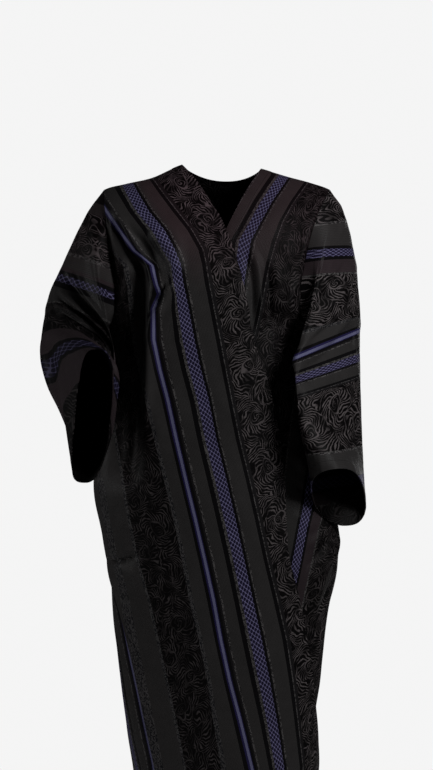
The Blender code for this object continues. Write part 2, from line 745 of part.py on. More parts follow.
def add_piece(name, panel, cloth):
    mesh = wall_mesh(name, panel)
    mesh.materials.append(cloth_material(name + "_cloth", cloth))
    mesh.shade_smooth()
    mesh.set_sharp_from_angle(angle=np.radians(50))
    piece = bpy.data.objects.new(name, mesh)
    bpy.context.scene.collection.objects.link(piece)


def make_panel(points, closed=False):
    normals = grid_normals(points, closed)
    centre = points.mean(axis=1, keepdims=True) if closed else np.array(BODY_MIDDLE)
    return {"points": points, "normals": facing_out(normals, points, centre), "closed": closed}


def build_abaya():
    falls = row_falls([RIGHT_SLIT_TOP, LEFT_SLIT_TOP])
    yoke = np.flatnonzero(falls <= 1 + 1e-9)
    right_front = right_front_panel(falls)
    left_front = left_front_panel(falls)
    back = back_panel(falls)
    right_sleeve = sleeve_panel(right_front[yoke, 0], back[yoke, -1], RIGHT_SLEEVE, RIGHT_SLEEVE_FOLDS)
    left_sleeve = sleeve_panel(left_front[yoke, -1], back[yoke, 0], LEFT_SLEEVE, LEFT_SLEEVE_FOLDS)
    panels = {
        "right_front": make_panel(right_front),
        "left_front": make_panel(left_front),
        "back": make_panel(back),
        "right_sleeve": make_panel(right_sleeve, closed=True),
        "left_sleeve": make_panel(left_sleeve, closed=True),
    }
    share_seam_normals(panels)
    cloths = {"back": BACK_CLOTH, "right_sleeve": SLEEVE_CLOTH, "left_sleeve": SLEEVE_CLOTH}
    for name, panel in panels.items():
        add_piece(name, panel, cloths.get(name, FRONT_CLOTH))


clear_scene()
build_abaya()
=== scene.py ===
"""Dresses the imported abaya: fine cloth over every piece, striped jacquard, floor, light and camera.

Metres, +Z up, the front faces -Y and the wearer's right is at -X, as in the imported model. The forms
repeat the solids' own sections and edges on finer grids, with the small creases added. Each point of
cloth also has two lengths in metres: how far across the stripes it lies, and how far along them.
"""

from collections import namedtuple

import bpy
import numpy as np
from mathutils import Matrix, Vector


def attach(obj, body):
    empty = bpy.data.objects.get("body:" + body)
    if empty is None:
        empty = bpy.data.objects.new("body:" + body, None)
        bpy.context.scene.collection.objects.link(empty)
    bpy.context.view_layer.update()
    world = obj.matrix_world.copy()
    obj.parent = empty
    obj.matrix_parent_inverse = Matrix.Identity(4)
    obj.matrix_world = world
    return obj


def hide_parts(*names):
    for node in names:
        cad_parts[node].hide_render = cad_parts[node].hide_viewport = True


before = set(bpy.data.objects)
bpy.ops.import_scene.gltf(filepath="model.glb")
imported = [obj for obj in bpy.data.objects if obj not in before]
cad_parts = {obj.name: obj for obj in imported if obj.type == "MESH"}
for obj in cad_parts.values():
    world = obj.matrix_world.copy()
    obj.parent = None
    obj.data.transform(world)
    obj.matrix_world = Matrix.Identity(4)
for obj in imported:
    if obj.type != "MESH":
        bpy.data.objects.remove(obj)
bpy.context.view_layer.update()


def thousandths(*rows):
    """A table from rows in millimetres, or in thousandths of a whole."""
    return np.array(rows) / 1000


def columns(names, *rows):
    """Such a table by its columns."""
    return namedtuple("Columns", names)(*thousandths(*rows).T)


# Cloth: thickness, how far edges are drawn back from the seams, the step to a layer below, and the
# gap that parts a slit
THICKNESS = 0.0014
EDGE_DRAWN_BACK = 0.0002
SLEEVE_DRAWN_BACK = 0.0004
LAYER_STEP = 0.0045
SLIT_GAP = 0.0012

# Hems. SEWN keeps a sewn side from counting as a finished edge, and SEAM_GRID, in steps a metre, finds
# the points that two pieces share
HEM_WIDTH = 0.020
HEM_STEP = 0.002
HEM_RISE = 0.0006
HEM_FAR = 0.050
SEWN = 1.0
SAME_FALL = 1e-9
SEAM_GRID = 1e5
SHARP_ANGLE = np.radians(60)

# Unevenness, the valleys at the armholes, and where folds and creases run out
RIPPLE = 0.0007
RIPPLE_ROUND = (0.2, 0.13)
ARMHOLE_SINK = 0.0060
ARMHOLE_SINK_WIDTH = 0.016
ARMHOLE_SINK_POWER = 0.7
BEND_STEPS = 8
FOLD_RUN_IN = 0.25
CREASE_RUN_OUT = 0.30
CREASE_BOW = 0.12
CREASE_ROW_FADE = 0.20
CREASE_FADE_AT_EDGE = 0.03

# What the mesh keeps for the material
STRIPE_MAP = "stripes"
HEM_FIELD = "from_hem"
REVERSE_FIELD = "reverse"

# Levels
UNDERARM_LEVEL = -0.340
HEM_LEVEL = -1.435
RIGHT_SLIT_TOP = -0.794
LEFT_SLIT_TOP = -0.745

# Roundness of the section, and the shoulder's drops to the chest at the neck and at the tip
SECTION_POWER = 2.3
FRONT_DROPS = (0.200, 0.090)
BACK_DROPS = (0.120, 0.085)
BACK_NECK_SCOOP = 0.036
TIP_SHARE = 0.85
YOKE_ROUNDS = 8

# Slits: how far the back reaches under a front's edge, over what height it slips under, and the
# levels between which the left front's side sinks under the wrap
UNDERLAP = 0.020
SLIP_UNDER_HEIGHT = 0.036
UNDERLAP_HEIGHT = 0.110
SIDE_LAYERS_FROM = -0.800
SIDE_LAYERS_BY = -0.880

# Turns and falls over which a layer eases under its neighbour
WRAP_EASE_TURN = np.radians(30)
WRAP_EASE_FALL = 0.30
SIDE_EASE_TURN = np.radians(50)
LEFT_SIDE_FROM = np.radians(150)
RIGHT_SIDE_FROM = np.radians(210)

QUARTER = np.pi / 2
BODY_MIDDLE = (-0.020, 0.000, -0.700)

# The body's horizontal sections: extreme left and right, and depth of front and back
BODY_SECTIONS = columns(
    "z left right front back",
    (20, -290, 245, 98, 80), (-50, -290, 245, 104, 92), (-180, -268, 222, 126, 114),
    (-280, -248, 188, 134, 114), (-340, -238, 165, 133, 110), (-430, -246, 170, 130, 108),
    (-540, -259, 188, 129, 118), (-648, -268, 205, 131, 130), (-740, -251, 223, 132, 135),
    (-794, -242, 224, 132, 135), (-908, -233, 206, 130, 132), (-1028, -219, 193, 128, 129),
    (-1120, -207, 181, 126, 127), (-1208, -194, 182, 124, 125), (-1435, -180, 176, 120, 122),
)

# The shoulder seam, and its run across the neck that only the back's depth follows
SHOULDER_LINE = columns(
    "x z",
    (-290, -78), (-248, -48), (-204, -36), (-152, -24), (-92, 2), (-13, 12), (66, -6), (120, -22),
    (168, -35), (204, -48), (245, -78),
)
RIGHT_NECK_POINT = -0.092
LEFT_NECK_POINT = 0.066

# Armholes: the share of the way down from the shoulder, and x on the front and on the back
RIGHT_ARMHOLE = columns(
    "share front back",
    (0, -248, -248), (200, -244, -242), (460, -237, -234), (750, -227, -227), (900, -231, -231),
    (1000, -238, -238),
)
LEFT_ARMHOLE = columns(
    "share front back",
    (0, 204, 204), (170, 182, 188), (340, 166, 176), (550, 152, 165), (750, 144, 157),
    (900, 150, 158), (1000, 165, 165),
)

# Free edges seen from the front
RIGHT_FRONT_EDGE = columns(
    "x z",
    (-92, 2), (-57.5, -42), (-25.9, -92.9), (-4.6, -133.8), (18.7, -199.7), (40, -288.8),
    (53.5, -362.4), (74.8, -420.6), (100, -536.8), (109.7, -622.1), (119.4, -777.1),
    (146.8, -893.9), (161.7, -975.7), (171.5, -1058.6),
)
LEFT_FRONT_EDGE = columns(
    "x z",
    (66, -6), (43, -42), (15, -92.9), (-4.6, -133.8), (-30, -200), (-55, -300), (-75, -420),
    (-85, -600), (-85, -900), (-80, -1435),
)
RIGHT_SLIT_EDGE = columns(
    "x z",
    (-226, -850), (-214, -886), (-199.3, -940), (-175, -1044), (-155.3, -1136), (-140, -1210),
    (-118, -1435),
)
LEFT_SLIT_EDGE = columns(
    "x z",
    (205, -790), (184.8, -852), (174, -920), (164, -990), (173, -1070),
)

# Levels and degrees of edges on the side seams and round the left side, where a front view can't
# place them
RIGHT_FRONT_EDGE_ANGLES = ((-1.170, 92), (-1.435, 106))
Side = namedtuple("Side", "sign armhole slit_top slit_edge slit_angles")
RIGHT = Side(-1, RIGHT_ARMHOLE, RIGHT_SLIT_TOP, RIGHT_SLIT_EDGE, ((RIGHT_SLIT_TOP, -90),))
LEFT_SLIT_ANGLES = ((LEFT_SLIT_TOP, 90), (-1.170, 84), (-1.435, 88))
LEFT = Side(1, LEFT_ARMHOLE, LEFT_SLIT_TOP, LEFT_SLIT_EDGE, LEFT_SLIT_ANGLES)

# The largest folds of the body: x and z of three points of a bend seen from the front, width, rise
RIGHT_FRONT_FOLDS = thousandths(
    (-178, -205, -205, -420, -205, -600, 26, -22), (-242, -62, -190, -140, -130, -240, 24, 9),
    (-160, -150, -122, -215, -136, -268, 14, -7), (-150, -290, -152, -420, -140, -560, 28, 6),
    (-238, -788, -218, -780, -196, -784, 12, -5),
)
LEFT_FRONT_FOLDS = thousandths(
    (182, -90, 150, -190, 120, -280, 22, 6), (50, -190, 70, -250, 85, -310, 15, -4),
)
BACK_FOLDS = thousandths(
    (-210, -70, -160, -160, -120, -270, 26, 8), (165, -70, 130, -170, 95, -280, 24, 7),
    (-200, -330, -180, -560, -165, -820, 28, -12), (125, -360, 140, -560, 140, -780, 26, -10),
    (-70, -420, -66, -800, -85, -1150, 36, 10), (45, -460, 40, -860, 60, -1250, 32, -8),
)
FOLD_FADE_AT_EDGE = 0.07

# Sleeve sections: points on the outer line, the front wall, the inner line and the rear wall, and how
# square the section is. The raised right sleeve's front wall turns inwards after the elbow.
RIGHT_SLEEVE_SECTIONS = thousandths(
    (-284, 2, -98, -250, -94, -222, -250, -12, -354, -264, 82, -212, 1000),
    (-323, 6, -184, -240, -116, -290, -264, -34, -388, -300, 78, -270, 1000),
    (-349, 0, -258, -226, -138, -354, -272, -64, -440, -334, 40, -348, 1000),
    (-330, -76, -312, -217, -160, -410, -268, -98, -505, -370, -30, -410, 1100),
    (-290, -170, -346, -216, -202, -455, -268, -148, -580, -332, -112, -466, 950),
    (-247, -258, -370, -221, -235, -494, -276, -198, -624, -291, -218, -492, 660),
)
LEFT_SLEEVE_SECTIONS = thousandths(
    (231, 0, -92, 168, -104, -228, 186, -6, -350, 190, 90, -222, 1000),
    (250, 0, -170, 158, -124, -285, 190, -36, -370, 212, 92, -270, 1000),
    (256, 0, -266, 145, -146, -340, 173, -74, -396, 234, 82, -335, 1000),
    (253, -10, -366, 144, -162, -400, 153, -100, -432, 238, 68, -415, 1000),
    (253, -45, -516, 156, -178, -505, 158, -114, -545, 243, 10, -565, 950),
    (266, -85, -645, 204, -190, -598, 163, -116, -655, 239, -48, -716, 850),
)

# Folds across the sleeves: shares of the way round from the outer line and of the way to the cuff,
# where they start and where they end, then width and rise
RIGHT_SLEEVE_FOLDS = thousandths(
    (40, 560, 240, 740, 24, 8), (60, 400, 260, 600, 24, -8), (680, 800, 840, 760, 34, -11),
)
LEFT_SLEEVE_FOLDS = thousandths(
    (40, 500, 340, 600, 24, 7), (20, 640, 300, 740, 24, -7),
)

# Grid sizes
YOKE_ROWS = 84
SHOULDER_SHARE = 0.34
SHOULDER_PART = 0.45
SKIRT_ROWS = 210
RIGHT_FRONT_COLUMNS = 108
LEFT_FRONT_COLUMNS = 88
BACK_COLUMNS = 140
RINGS = 150

# Small creases of the body, through three points seen from the front; they run out at both ends
RIGHT_FRONT_CREASES = thousandths(
    (-236, -70, -180, -168, -144, -236, 8, 5), (-232, -92, -196, -180, -162, -250, 10, -12),
    (-205, -120, -151, -190, -130, -250, 12, -15), (-170, -110, -112, -180, -102, -236, 14, 10),
    (-117, -230, -132, -267, -158, -310, 5, -7), (-106, -230, -124, -270, -144, -320, 7, 7.5),
    (-140, -270, -154, -360, -162, -600, 10, 7.5), (-184, -210, -182, -340, -188, -640, 15, -15),
    (-156, -300, -146, -400, -150, -500, 13, 3), (-176, -420, -172, -490, -164, -580, 7, -3),
    (-214, -420, -206, -520, -210, -640, 10, 4), (-236, -460, -226, -560, -232, -660, 9, -3),
    (-112, -120, -94, -180, -92, -250, 12, 2.2), (-120, -330, -104, -460, -70, -620, 16, 1.4),
    (-60, -420, -34, -560, -4, -720, 18, -1.2), (10, -200, 24, -280, 34, -350, 10, 1.4),
    (60, -520, 76, -620, 86, -730, 14, 1.2), (-140, -700, -112, -850, -80, -1020, 20, 1.4),
    (-180, -830, -150, -980, -116, -1140, 16, -1.2), (-40, -900, -4, -1060, 34, -1240, 20, 1.4),
    (70, -880, 100, -1000, 118, -1130, 14, -1.2), (-262, -784, -214, -772, -180, -758, 6, 1.2),
    (-300, -806, -222, -786, -158, -764, 3.6, -7.4),
)
LEFT_FRONT_CREASES = thousandths(
    (44, -165, 62, -232, 64, -340, 9, 8.5), (30, -175, 46, -240, 48, -340, 6, -5),
    (74, -195, 84, -262, 76, -345, 7, -7.5), (64, -300, 76, -322, 94, -340, 6, -3.5),
    (196, -70, 160, -150, 130, -240, 10, 4.5), (186, -100, 150, -190, 116, -270, 8, -4),
    (150, -200, 118, -270, 104, -360, 9, 3.5), (138, -290, 122, -380, 122, -480, 9, -3.5),
    (150, -420, 140, -520, 146, -620, 10, 3.5), (126, -560, 150, -600, 184, -610, 10, 6),
    (130, -620, 156, -650, 190, -660, 8, -4), (126, -680, 152, -706, 180, -720, 9, 3),
    (216, -700, 190, -730, 150, -760, 9, 3.5), (212, -720, 186, -760, 150, -800, 7, -3.5),
)
BACK_CREASES = thousandths(
    (-228, -70, -170, -160, -120, -250, 11, 4.5), (-216, -100, -160, -190, -118, -270, 9, -4),
    (-200, -180, -150, -270, -130, -380, 10, 3.8), (188, -70, 140, -150, 90, -240, 11, 4.5),
    (178, -100, 128, -190, 88, -270, 9, -4), (160, -190, 118, -280, 104, -380, 10, 3.5),
    (-70, -40, -20, -62, 44, -46, 10, 2.5), (-80, -70, -16, -100, 50, -74, 13, -2.2),
    (-190, -330, -176, -440, -186, -560, 11, 4.2), (-160, -360, -150, -500, -156, -660, 12, -3.6),
    (-112, -380, -100, -560, -116, -760, 15, 3.2), (-40, -340, -30, -500, -44, -700, 16, -2.6),
    (16, -320, 22, -460, 10, -640, 15, 2.8), (78, -350, 82, -480, 72, -640, 13, -3),
    (116, -380, 118, -520, 124, -660, 11, 3.6), (144, -440, 156, -560, 166, -700, 10, -3.4),
    (-236, -560, -210, -640, -160, -700, 12, 3.4), (196, -600, 160, -660, 110, -710, 12, 3.2),
    (-238, -770, -190, -786, -130, -776, 10, 3), (-236, -800, -186, -812, -140, -808, 8, -2.6),
    (216, -728, 170, -744, 110, -740, 10, 2.8), (-150, -820, -140, -1020, -124, -1260, 18, 2.6),
    (-20, -780, -10, -1000, -18, -1300, 20, 2.4), (100, -800, 104, -1000, 92, -1220, 17, -2.2),
    (160, -830, 150, -980, 140, -1180, 14, 2.4),
)

# Small creases of the sleeves
RIGHT_SLEEVE_CREASES = thousandths(
    (20, 340, 240, 440, 9, 7), (20, 390, 250, 480, 7, -9), (10, 450, 260, 520, 8, 9.5),
    (30, 510, 260, 555, 6, -8.5), (0, 560, 250, 590, 7, 7.5), (20, 600, 220, 620, 6, -6),
    (50, 660, 240, 650, 7, -4), (80, 720, 260, 700, 8, 3.4), (120, 160, 280, 340, 20, 1.2),
    (200, 100, 340, 300, 15, -3), (20, 120, 140, 300, 12, 3.4), (960, 300, 780, 460, 11, 4.4),
    (980, 400, 760, 540, 10, -4.4), (940, 520, 720, 600, 11, 4.4), (900, 620, 700, 700, 10, -3.4),
    (340, 300, 500, 460, 11, 4), (360, 500, 560, 660, 12, -3.6), (400, 660, 540, 860, 12, 3.4),
    (840, 720, 920, 920, 12, 2.6),
)
LEFT_SLEEVE_CREASES = thousandths(
    (0, 60, 100, 260, 12, 3.4), (120, 100, 240, 300, 20, 1.2), (200, 160, 320, 400, 15, -2.8),
    (40, 340, 280, 420, 10, -3.6), (20, 400, 260, 500, 10, 5), (0, 470, 240, 580, 9, -5),
    (20, 540, 220, 630, 9, 4.6), (60, 620, 260, 680, 9, -4), (100, 700, 300, 760, 11, 3.4),
    (40, 780, 200, 920, 13, -2.2), (980, 360, 800, 500, 11, 4.4), (960, 460, 780, 580, 10, -4.4),
    (940, 560, 740, 660, 11, 4), (880, 200, 720, 360, 12, 4), (900, 680, 760, 860, 12, -2.8),
    (360, 360, 520, 560, 11, 3.8), (400, 620, 560, 800, 12, -3),
)
RIGHT_SLEEVE = (RIGHT_SLEEVE_SECTIONS, RIGHT_SLEEVE_FOLDS, RIGHT_SLEEVE_CREASES)
LEFT_SLEEVE = (LEFT_SLEEVE_SECTIONS, LEFT_SLEEVE_FOLDS, LEFT_SLEEVE_CREASES)

# Where the stripes run on the fronts: x of six known lines at a few levels, and how far across the
# cloth each line is
RIGHT_STRIPES = thousandths(
    (-21, -390, -335, -288, -208, -154, -82), (-60, -365, -312, -265, -189, -128, -49),
    (-99, -340, -286, -239, -168, -99, -24), (-137, -315, -262, -214, -137, -70, -3),
    (-176, -285, -230, -185, -117, -48, 11), (-205, -257, -206, -148, -104, -42, 20),
    (-225, -255, -203, -144, -102, -39, 23), (-244, -253, -199, -139, -99, -36, 27),
    (-262, -251, -197, -132, -95, -32, 32), (-290, -249, -195, -146, -89, -27, 40),
    (-351, -241, -189, -146, -78, -15, 52), (-409, -237, -177, -134, -65, -4, 71),
    (-467, -233, -162, -119, -49, 7, 85), (-545, -224, -144, -102, -34, 23, 101),
    (-622, -210, -125, -84, -15, 42, 110), (-700, -197, -106, -65, 3, 60, 116),
    (-778, -181, -90, -47, 20, 77, 120), (-855, -158, -76, -30, 36, 96, 138),
    (-933, -140, -57, -16, 53, 114, 154), (-1010, -123, -41, 1, 69, 126, 164),
    (-1088, -106, -30, 22, 84, 136, 172), (-1185, -86, -14, 46, 100, 147, 182),
)
RIGHT_STRIPES_ACROSS = (-0.221, -0.126, -0.071, 0.000, 0.0635, 0.135)
LEFT_STRIPES = thousandths(
    (-21, 62, 112, 174, 255, 314, 352), (-79, 25, 75, 134, 226, 296, 335),
    (-118, 4, 54, 112, 207, 285, 323), (-157, -18, 32, 99, 193, 273, 312),
    (-205, -25, 25, 85, 184, 258, 297), (-254, -31, 19, 75, 172, 236, 285),
    (-312, -41, 9, 63, 156, 219, 272), (-370, -51, -1, 48, 140, 207, 259),
    (-467, -72, -22, 25, 125, 189, 240), (-564, -94, -44, 2, 112, 174, 221),
    (-661, -117, -67, -20, 102, 158, 197), (-719, -127, -77, -30, 94, 145, 178),
    (-778, -136, -86, -40, 81, 134, 165), (-855, -148, -98, -59, 65, 118, 147),
    (-933, -153, -103, -64, 51, 102, 133), (-1049, -161, -111, -73, 32, 81, 120),
    (-1185, -171, -121, -82, 15, 61, 108),
)
LEFT_STRIPES_ACROSS = (-0.050, 0.000, 0.069, 0.181, 0.2425, 0.286)
RIGHT_STRIPES_LEAN = 0.225
LEFT_STRIPES_LEAN = -0.230

# Where the stripes run on the sleeves: how far across the cloth a line is, and x and z of two of its
# points seen from the front, by the body and at the outer side
LEFT_SLEEVE_STRIPES = thousandths(
    (120, 174, -79, 226, -52), (181, 162, -122, 226, -110), (231, 160, -174, 238, -166),
    (254, 158, -191, 240, -181), (286, 149, -227, 248, -215), (381, 135, -335, 252, -304),
    (429.5, 133, -376, 252, -327), (440.5, 133, -387, 252, -338), (507, 145, -422, 255, -386),
    (593, 139, -471, 255, -438), (688, 145, -568, 259, -556), (749.5, 151, -634, 263, -624),
    (800, 151, -684, 263, -675),
)
RIGHT_SLEEVE_STRIPES = thousandths(
    (-1075, -229, -84, -277, -65), (-1126, -229, -120, -285, -94), (-1221, -225, -211, -320, -175),
    (-1264.5, -224, -269, -336, -228), (-1326, -223, -321, -352, -282),
    (-1421, -229, -373, -364, -345),
)
# From the elbow on, the raised sleeve's stripes lie square to a line that points down, out and forward
FOREARM_FROM = 0.50
FOREARM_BY = 0.66
FOREARM_ACROSS = -1.4645
FOREARM_POINT = (-0.284, -0.200, -0.362)
FOREARM_LINE = (-0.637, -0.520, -0.569)

# The cloth's stripes over one repeat, in millimetres across
REPEAT_START = -0.126
BANDS = (
    ("speckle", 9), ("plain", 32), ("dark", 8), ("navy", 2.5), ("blue", 6.2), ("navy", 2.5),
    ("dark", 6.8), ("gap", 4), ("lurex", 3), ("plain", 25), ("dark", 9), ("lurex", 6),
    ("lattice", 24), ("dark", 6), ("lurex", 3), ("plain", 33), ("dark", 7), ("lurex", 3),
    ("gap", 5), ("flower", 112), ("lurex", 4), ("plain", 40), ("dark", 6), ("lattice", 23),
    ("dark", 6), ("rose", 22), ("lurex", 4), ("flower", 95),
)
REPEAT = sum(width for kind, width in BANDS) / 1000

# The stripes below the repeat's start: beside the right slit, and far from them those of the right sleeve
SIDE_START = -1.750
# Some of these bands are darker copies of the lattice and flower bands, which are painted shade
SIDE_BANDS = (
    ("plain", 129), ("painted_shade_flower", 95), ("lurex", 4), ("rose", 42.5), ("dark", 8),
    ("painted_shade_lattice", 14), ("dark", 8), ("rose", 24.5), ("lurex", 4), ("painted_shade_flower", 95), ("lurex", 4),
    ("plain", 40), ("dark", 9), ("dim_lattice", 16), ("dark", 6), ("rose", 5.5), ("plain", 20.5),
    ("lurex", 4), ("flower", 95), ("lurex", 4), ("plain", 37), ("dark", 10), ("dark", 641),
    ("plain", 60), ("dark", 8), ("painted_shade_lattice", 16), ("dark", 8), ("plain", 48), ("speckle", 28),
    ("plain", 41), ("speckle", 4), ("painted_shade_flower", 95),
)
SIDE = sum(width for kind, width in SIDE_BANDS) / 1000

# The length along the stripes: its shares of what was measured, and limits that keep it steady
LEAN_SHARE = 0.97
ROUND_SHARE = 0.60
LEAST_BESIDE = 0.3
LEAST_GAP = 0.02
LEAST_SPAN = 0.004
DENSITY_LIMITS = (0.80, 1.05)

# The back's stripes: its middle, and the line of its blue stripe beside the right slit
BACK_MIDDLE_ACROSS = 0.3335
BLUE_ACROSS = -0.071
BACK_BLUE_LINE = columns(
    "z x",
    (-800, -231), (-873, -211.5), (-933, -199.5), (-1037, -176.5), (-1180, -145), (-1435, -115),
)
BESIDE_SLIT_FROM = 0.66
BESIDE_SLIT_OVER = 0.20
BESIDE_SLIT_BELOW = -0.860
BESIDE_SLIT_LEVEL = -0.120
BESIDE_SLIT_HEIGHT = 0.700

# How each kind of band looks: its ground colour and how much of each pattern it carries
Kind = namedtuple("Kind", "red green blue gloss ribs lurex lattice flower", defaults=(0,) * 5)
KINDS = {
    "plain": Kind(0.0142, 0.0134, 0.0134, 0.6, 1),
    "dark": Kind(0.0024, 0.0022, 0.0025, 1, 0.3),
    "blue": Kind(0.056, 0.056, 0.099, 0.5, 0.4),
    "navy": Kind(0.008, 0.0068, 0.027, 0.5, 0.2),
    "gap": Kind(0.005, 0.0046, 0.005, 0.3, 0.6),
    "rose": Kind(0.0146, 0.011, 0.0124, 0.6, 1),
    "speckle": Kind(0.0052, 0.0052, 0.006, 0.3, 0, 0.65),
    "lurex": Kind(0.008, 0.0075, 0.0078, 0.5, 0, 1),
    "lattice": Kind(0.006, 0.005, 0.013, 0.4, 0, 0, 1),
    "dim_lattice": Kind(0.0045, 0.0038, 0.0095, 0.4, 0, 0, 0.75),
    # Painted shade: a darker copy of the lattice band, with a darker ground and a weaker lattice
    "painted_shade_lattice": Kind(0.0034, 0.0028, 0.007, 0.3, 0, 0, 0.32),
    "flower": Kind(0.0012, 0.001, 0.0011, 0, 0, 0, 0, 1),
    # Painted shade: a darker copy of the flower band, with its scrolls at a third of their strength
    "painted_shade_flower": Kind(0.0012, 0.001, 0.0011, 0, 0, 0, 0, 0.34),
}

# Pattern: colours, then lengths in metres, and pairs between which a stroke fades in or out
SCROLL_COLOUR = (0.0400, 0.0350, 0.0358)
LATTICE_COLOUR = (0.0740, 0.0690, 0.1290)
LUREX_COLOUR = (0.0380, 0.0360, 0.0360)
ROUGHNESS = 0.50
SPECULAR = 0.022
SHEEN_WEIGHT = 0.001
SHEEN_ROUGHNESS = 0.42
SHEEN_TINT = (0.80, 0.78, 0.85, 1.0)
UNEVEN_SCALE = 55.0
CLOUD_SCALE = 7.0
FLOWER_MIDDLE = 0.1250
FLOWER_SPACE = 0.200
SIDE_FLOWER_SHIFT = 0.1070
SCROLL_COLUMN = 0.0190
SCROLL_PITCH = 0.100
SCROLL_WOBBLES = ((0.021, 33.0), (0.0075, 80.0))
COIL_PITCH = 0.0052
COIL_TURNS = 3
COIL_STROKE = (0.30, 0.95)
COIL_STRENGTH = 0.7
EYE_EDGE = (-0.0025, -0.0045)
PETAL_EDGE = (0.0015, 0.0030)
RING_RADIUS = 0.0130
RING_STROKE = (0.0019, 0.0009)
RING_STRENGTH = 0.8
FINE_STROKE = (0.15, 0.80)
PETALS = 19
PETAL_TILT = 0.0078
PETAL_RADIUS = 0.0290
PETAL_FADE = 0.003
LEAVES = 3
LEAF_TURN = 0.15
LEAF_STROKE = (-0.95, -0.55)
STROKE_UNEVEN = 2.2
STROKE_SCALE = 130.0
STROKE_FADE_SCALE = 45.0
FADED_STROKE = (0.32, 0.66)
LOBE_PITCH = 0.040
HATCH_PITCH = 0.0050
HATCH_TURNS = 7
LATTICE_PITCH = 0.0205
LATTICE_ACROSS = 0.0175
LATTICE_STROKE = (0.27, 0.08)
LUREX_CELL = 0.0016
LUREX_CELL_LENGTH = 0.00256
GLINT_STROKE = (0.35, 0.75)
RIB_PITCH = 0.0030
WEAVE_PITCH = 0.0022
STITCH_FROM_EDGE = 0.0185
STITCH_LENGTH = 0.0040
STITCH_EDGE = (0.0011, 0.0005)
STITCH_DASH = (-0.55, -0.25)
# The reverse face is drawn at this share of its brightness: painted shade for the garment's inside
REVERSE_PAINTED_SHADE = 0.14
WARM_LEVELS = (-0.270, -0.130)
WARM_EDGE = 0.02
WARM_CAST = (1.12, 0.93, 1.01)
WARM_GROUND = (1.32, 1.14, 1.16)
BUMP_HEIGHT = 0.0006
BUMP_STRENGTH = 0.55

# How strong each piece shows the pattern, and from where across its stripes it is warmer at the top. Its
# shade and its strokes are painted shading: each whole piece and its scrolls drawn darker or lighter for
# how the piece lies to the lamps
Cloth = namedtuple("Cloth", "shade strokes lattice warmth warm_from")
CLOTHS = {
    "right_front": Cloth(1.0, 1.25, 1.0, 1.0, 0.02),
    "left_front": Cloth(0.80, 0.62, 1.0, 0.9, -9.0),
    "back": Cloth(0.92, 0.95, 0.8, 0.5, -9.0),
    "right_sleeve": Cloth(0.84, 1.10, 1.0, 0.5, -9.0),
    "left_sleeve": Cloth(1.04, 1.35, 0.8, 0.1, -9.0),
}

# What a piece's mesh is made from
Panel = namedtuple("Panel", "points stripes free_below closed normals")

# A record of what a piece is cut to: width and length of the cloth, its flat area, and what it rests on;
# no piece here is given one
Cut = namedtuple("Cut", "width length area rests_on")

# Studio
FLOOR_LEVEL = -1.515
FLOOR_RADIUS = 1.40
FLOOR_SIDES = 96
FLOOR_COLOURS = ((0.80, 0.80, 0.80), (0.84, 0.84, 0.84))
FLOOR_GRAIN_SCALE = 30.0
FLOOR_ROUGHNESS = 0.9
ROOM_COLOUR = (1.0, 1.0, 1.0, 1.0)
ROOM_STRENGTH = 0.91
ROOM_LIGHT = 0.045
# Lights: name, place, target, size and power
LIGHTS = (
    ("right", (1.4, -1.5, 0.6), (0, 0, -0.25), (0.7, 0.7), 70),
    ("left", (-2.2, -0.2, -0.2), (0, 0, -0.3), (0.6, 0.8), 28),
    ("rear", (0.3, 2.8, -0.3), (0, 0, -0.6), (1.8, 1.8), 20),
)
CAMERA_X = -0.023
CAMERA_Z = -0.438
CAMERA_DISTANCE = 4.0
FRAME_HEIGHT = 1.54
SENSOR = 36.0


def smooth_curve(knots, values, at):
    """A smooth curve through (knots, values), read at any points; it stays level past both ends."""
    knots = np.asarray(knots, float)
    values = np.asarray(values, float)
    trail = (1,) * (values.ndim - 1)
    steps = np.diff(knots)
    slopes = np.diff(values, axis=0) / steps.reshape((-1,) + trail)
    share = (steps[:-1] / (steps[:-1] + steps[1:])).reshape((-1,) + trail)
    tangents = np.concatenate([slopes[:1], slopes[:-1] * (1 - share) + slopes[1:] * share, slopes[-1:]])
    at = np.clip(at, knots[0], knots[-1])
    i = np.clip(np.searchsorted(knots, at, side="right") - 1, 0, len(knots) - 2)
    span = steps[i].reshape(np.shape(at) + trail)
    t = (at - knots[i]).reshape(np.shape(at) + trail) / span
    start = (2 * t**3 - 3 * t**2 + 1) * values[i] + (t**3 - 2 * t**2 + t) * span * tangents[i]
    end = (3 * t**2 - 2 * t**3) * values[i + 1] + (t**3 - t**2) * span * tangents[i + 1]
    return start + end


def ease(x):
    """0 below 0, 1 above 1, and smooth between."""
    x = np.clip(x, 0.0, 1.0)
    return x * x * (3 - 2 * x)


def powered(value, power):
    """A power that keeps the sign."""
    return np.sign(value) * np.abs(value) ** power


def running(steps, axis):
    """The running total of some steps, from zero."""
    start = np.zeros_like(np.take(steps, [0], axis=axis))
    return np.concatenate([start, np.cumsum(steps, axis=axis)], axis=axis)


def lengths_along(points, axis):
    """Running length in metres along the rows (axis 1) or the columns (axis 0) of a grid."""
    return running(np.linalg.norm(np.diff(points, axis=axis), axis=-1), axis)


def body_section(z, name):
    """One column of the body's sections at level z."""
    return smooth_curve(-BODY_SECTIONS.z, getattr(BODY_SECTIONS, name), -z)


def middle_and_half(z):
    """x of the section's middle at level z, and half its width."""
    left, right = body_section(z, "left"), body_section(z, "right")
    return (left + right) / 2, (right - left) / 2


def seam_height(x):
    """Height of the shoulder seam, run on across the neck."""
    return smooth_curve(SHOULDER_LINE.x, SHOULDER_LINE.z, x)


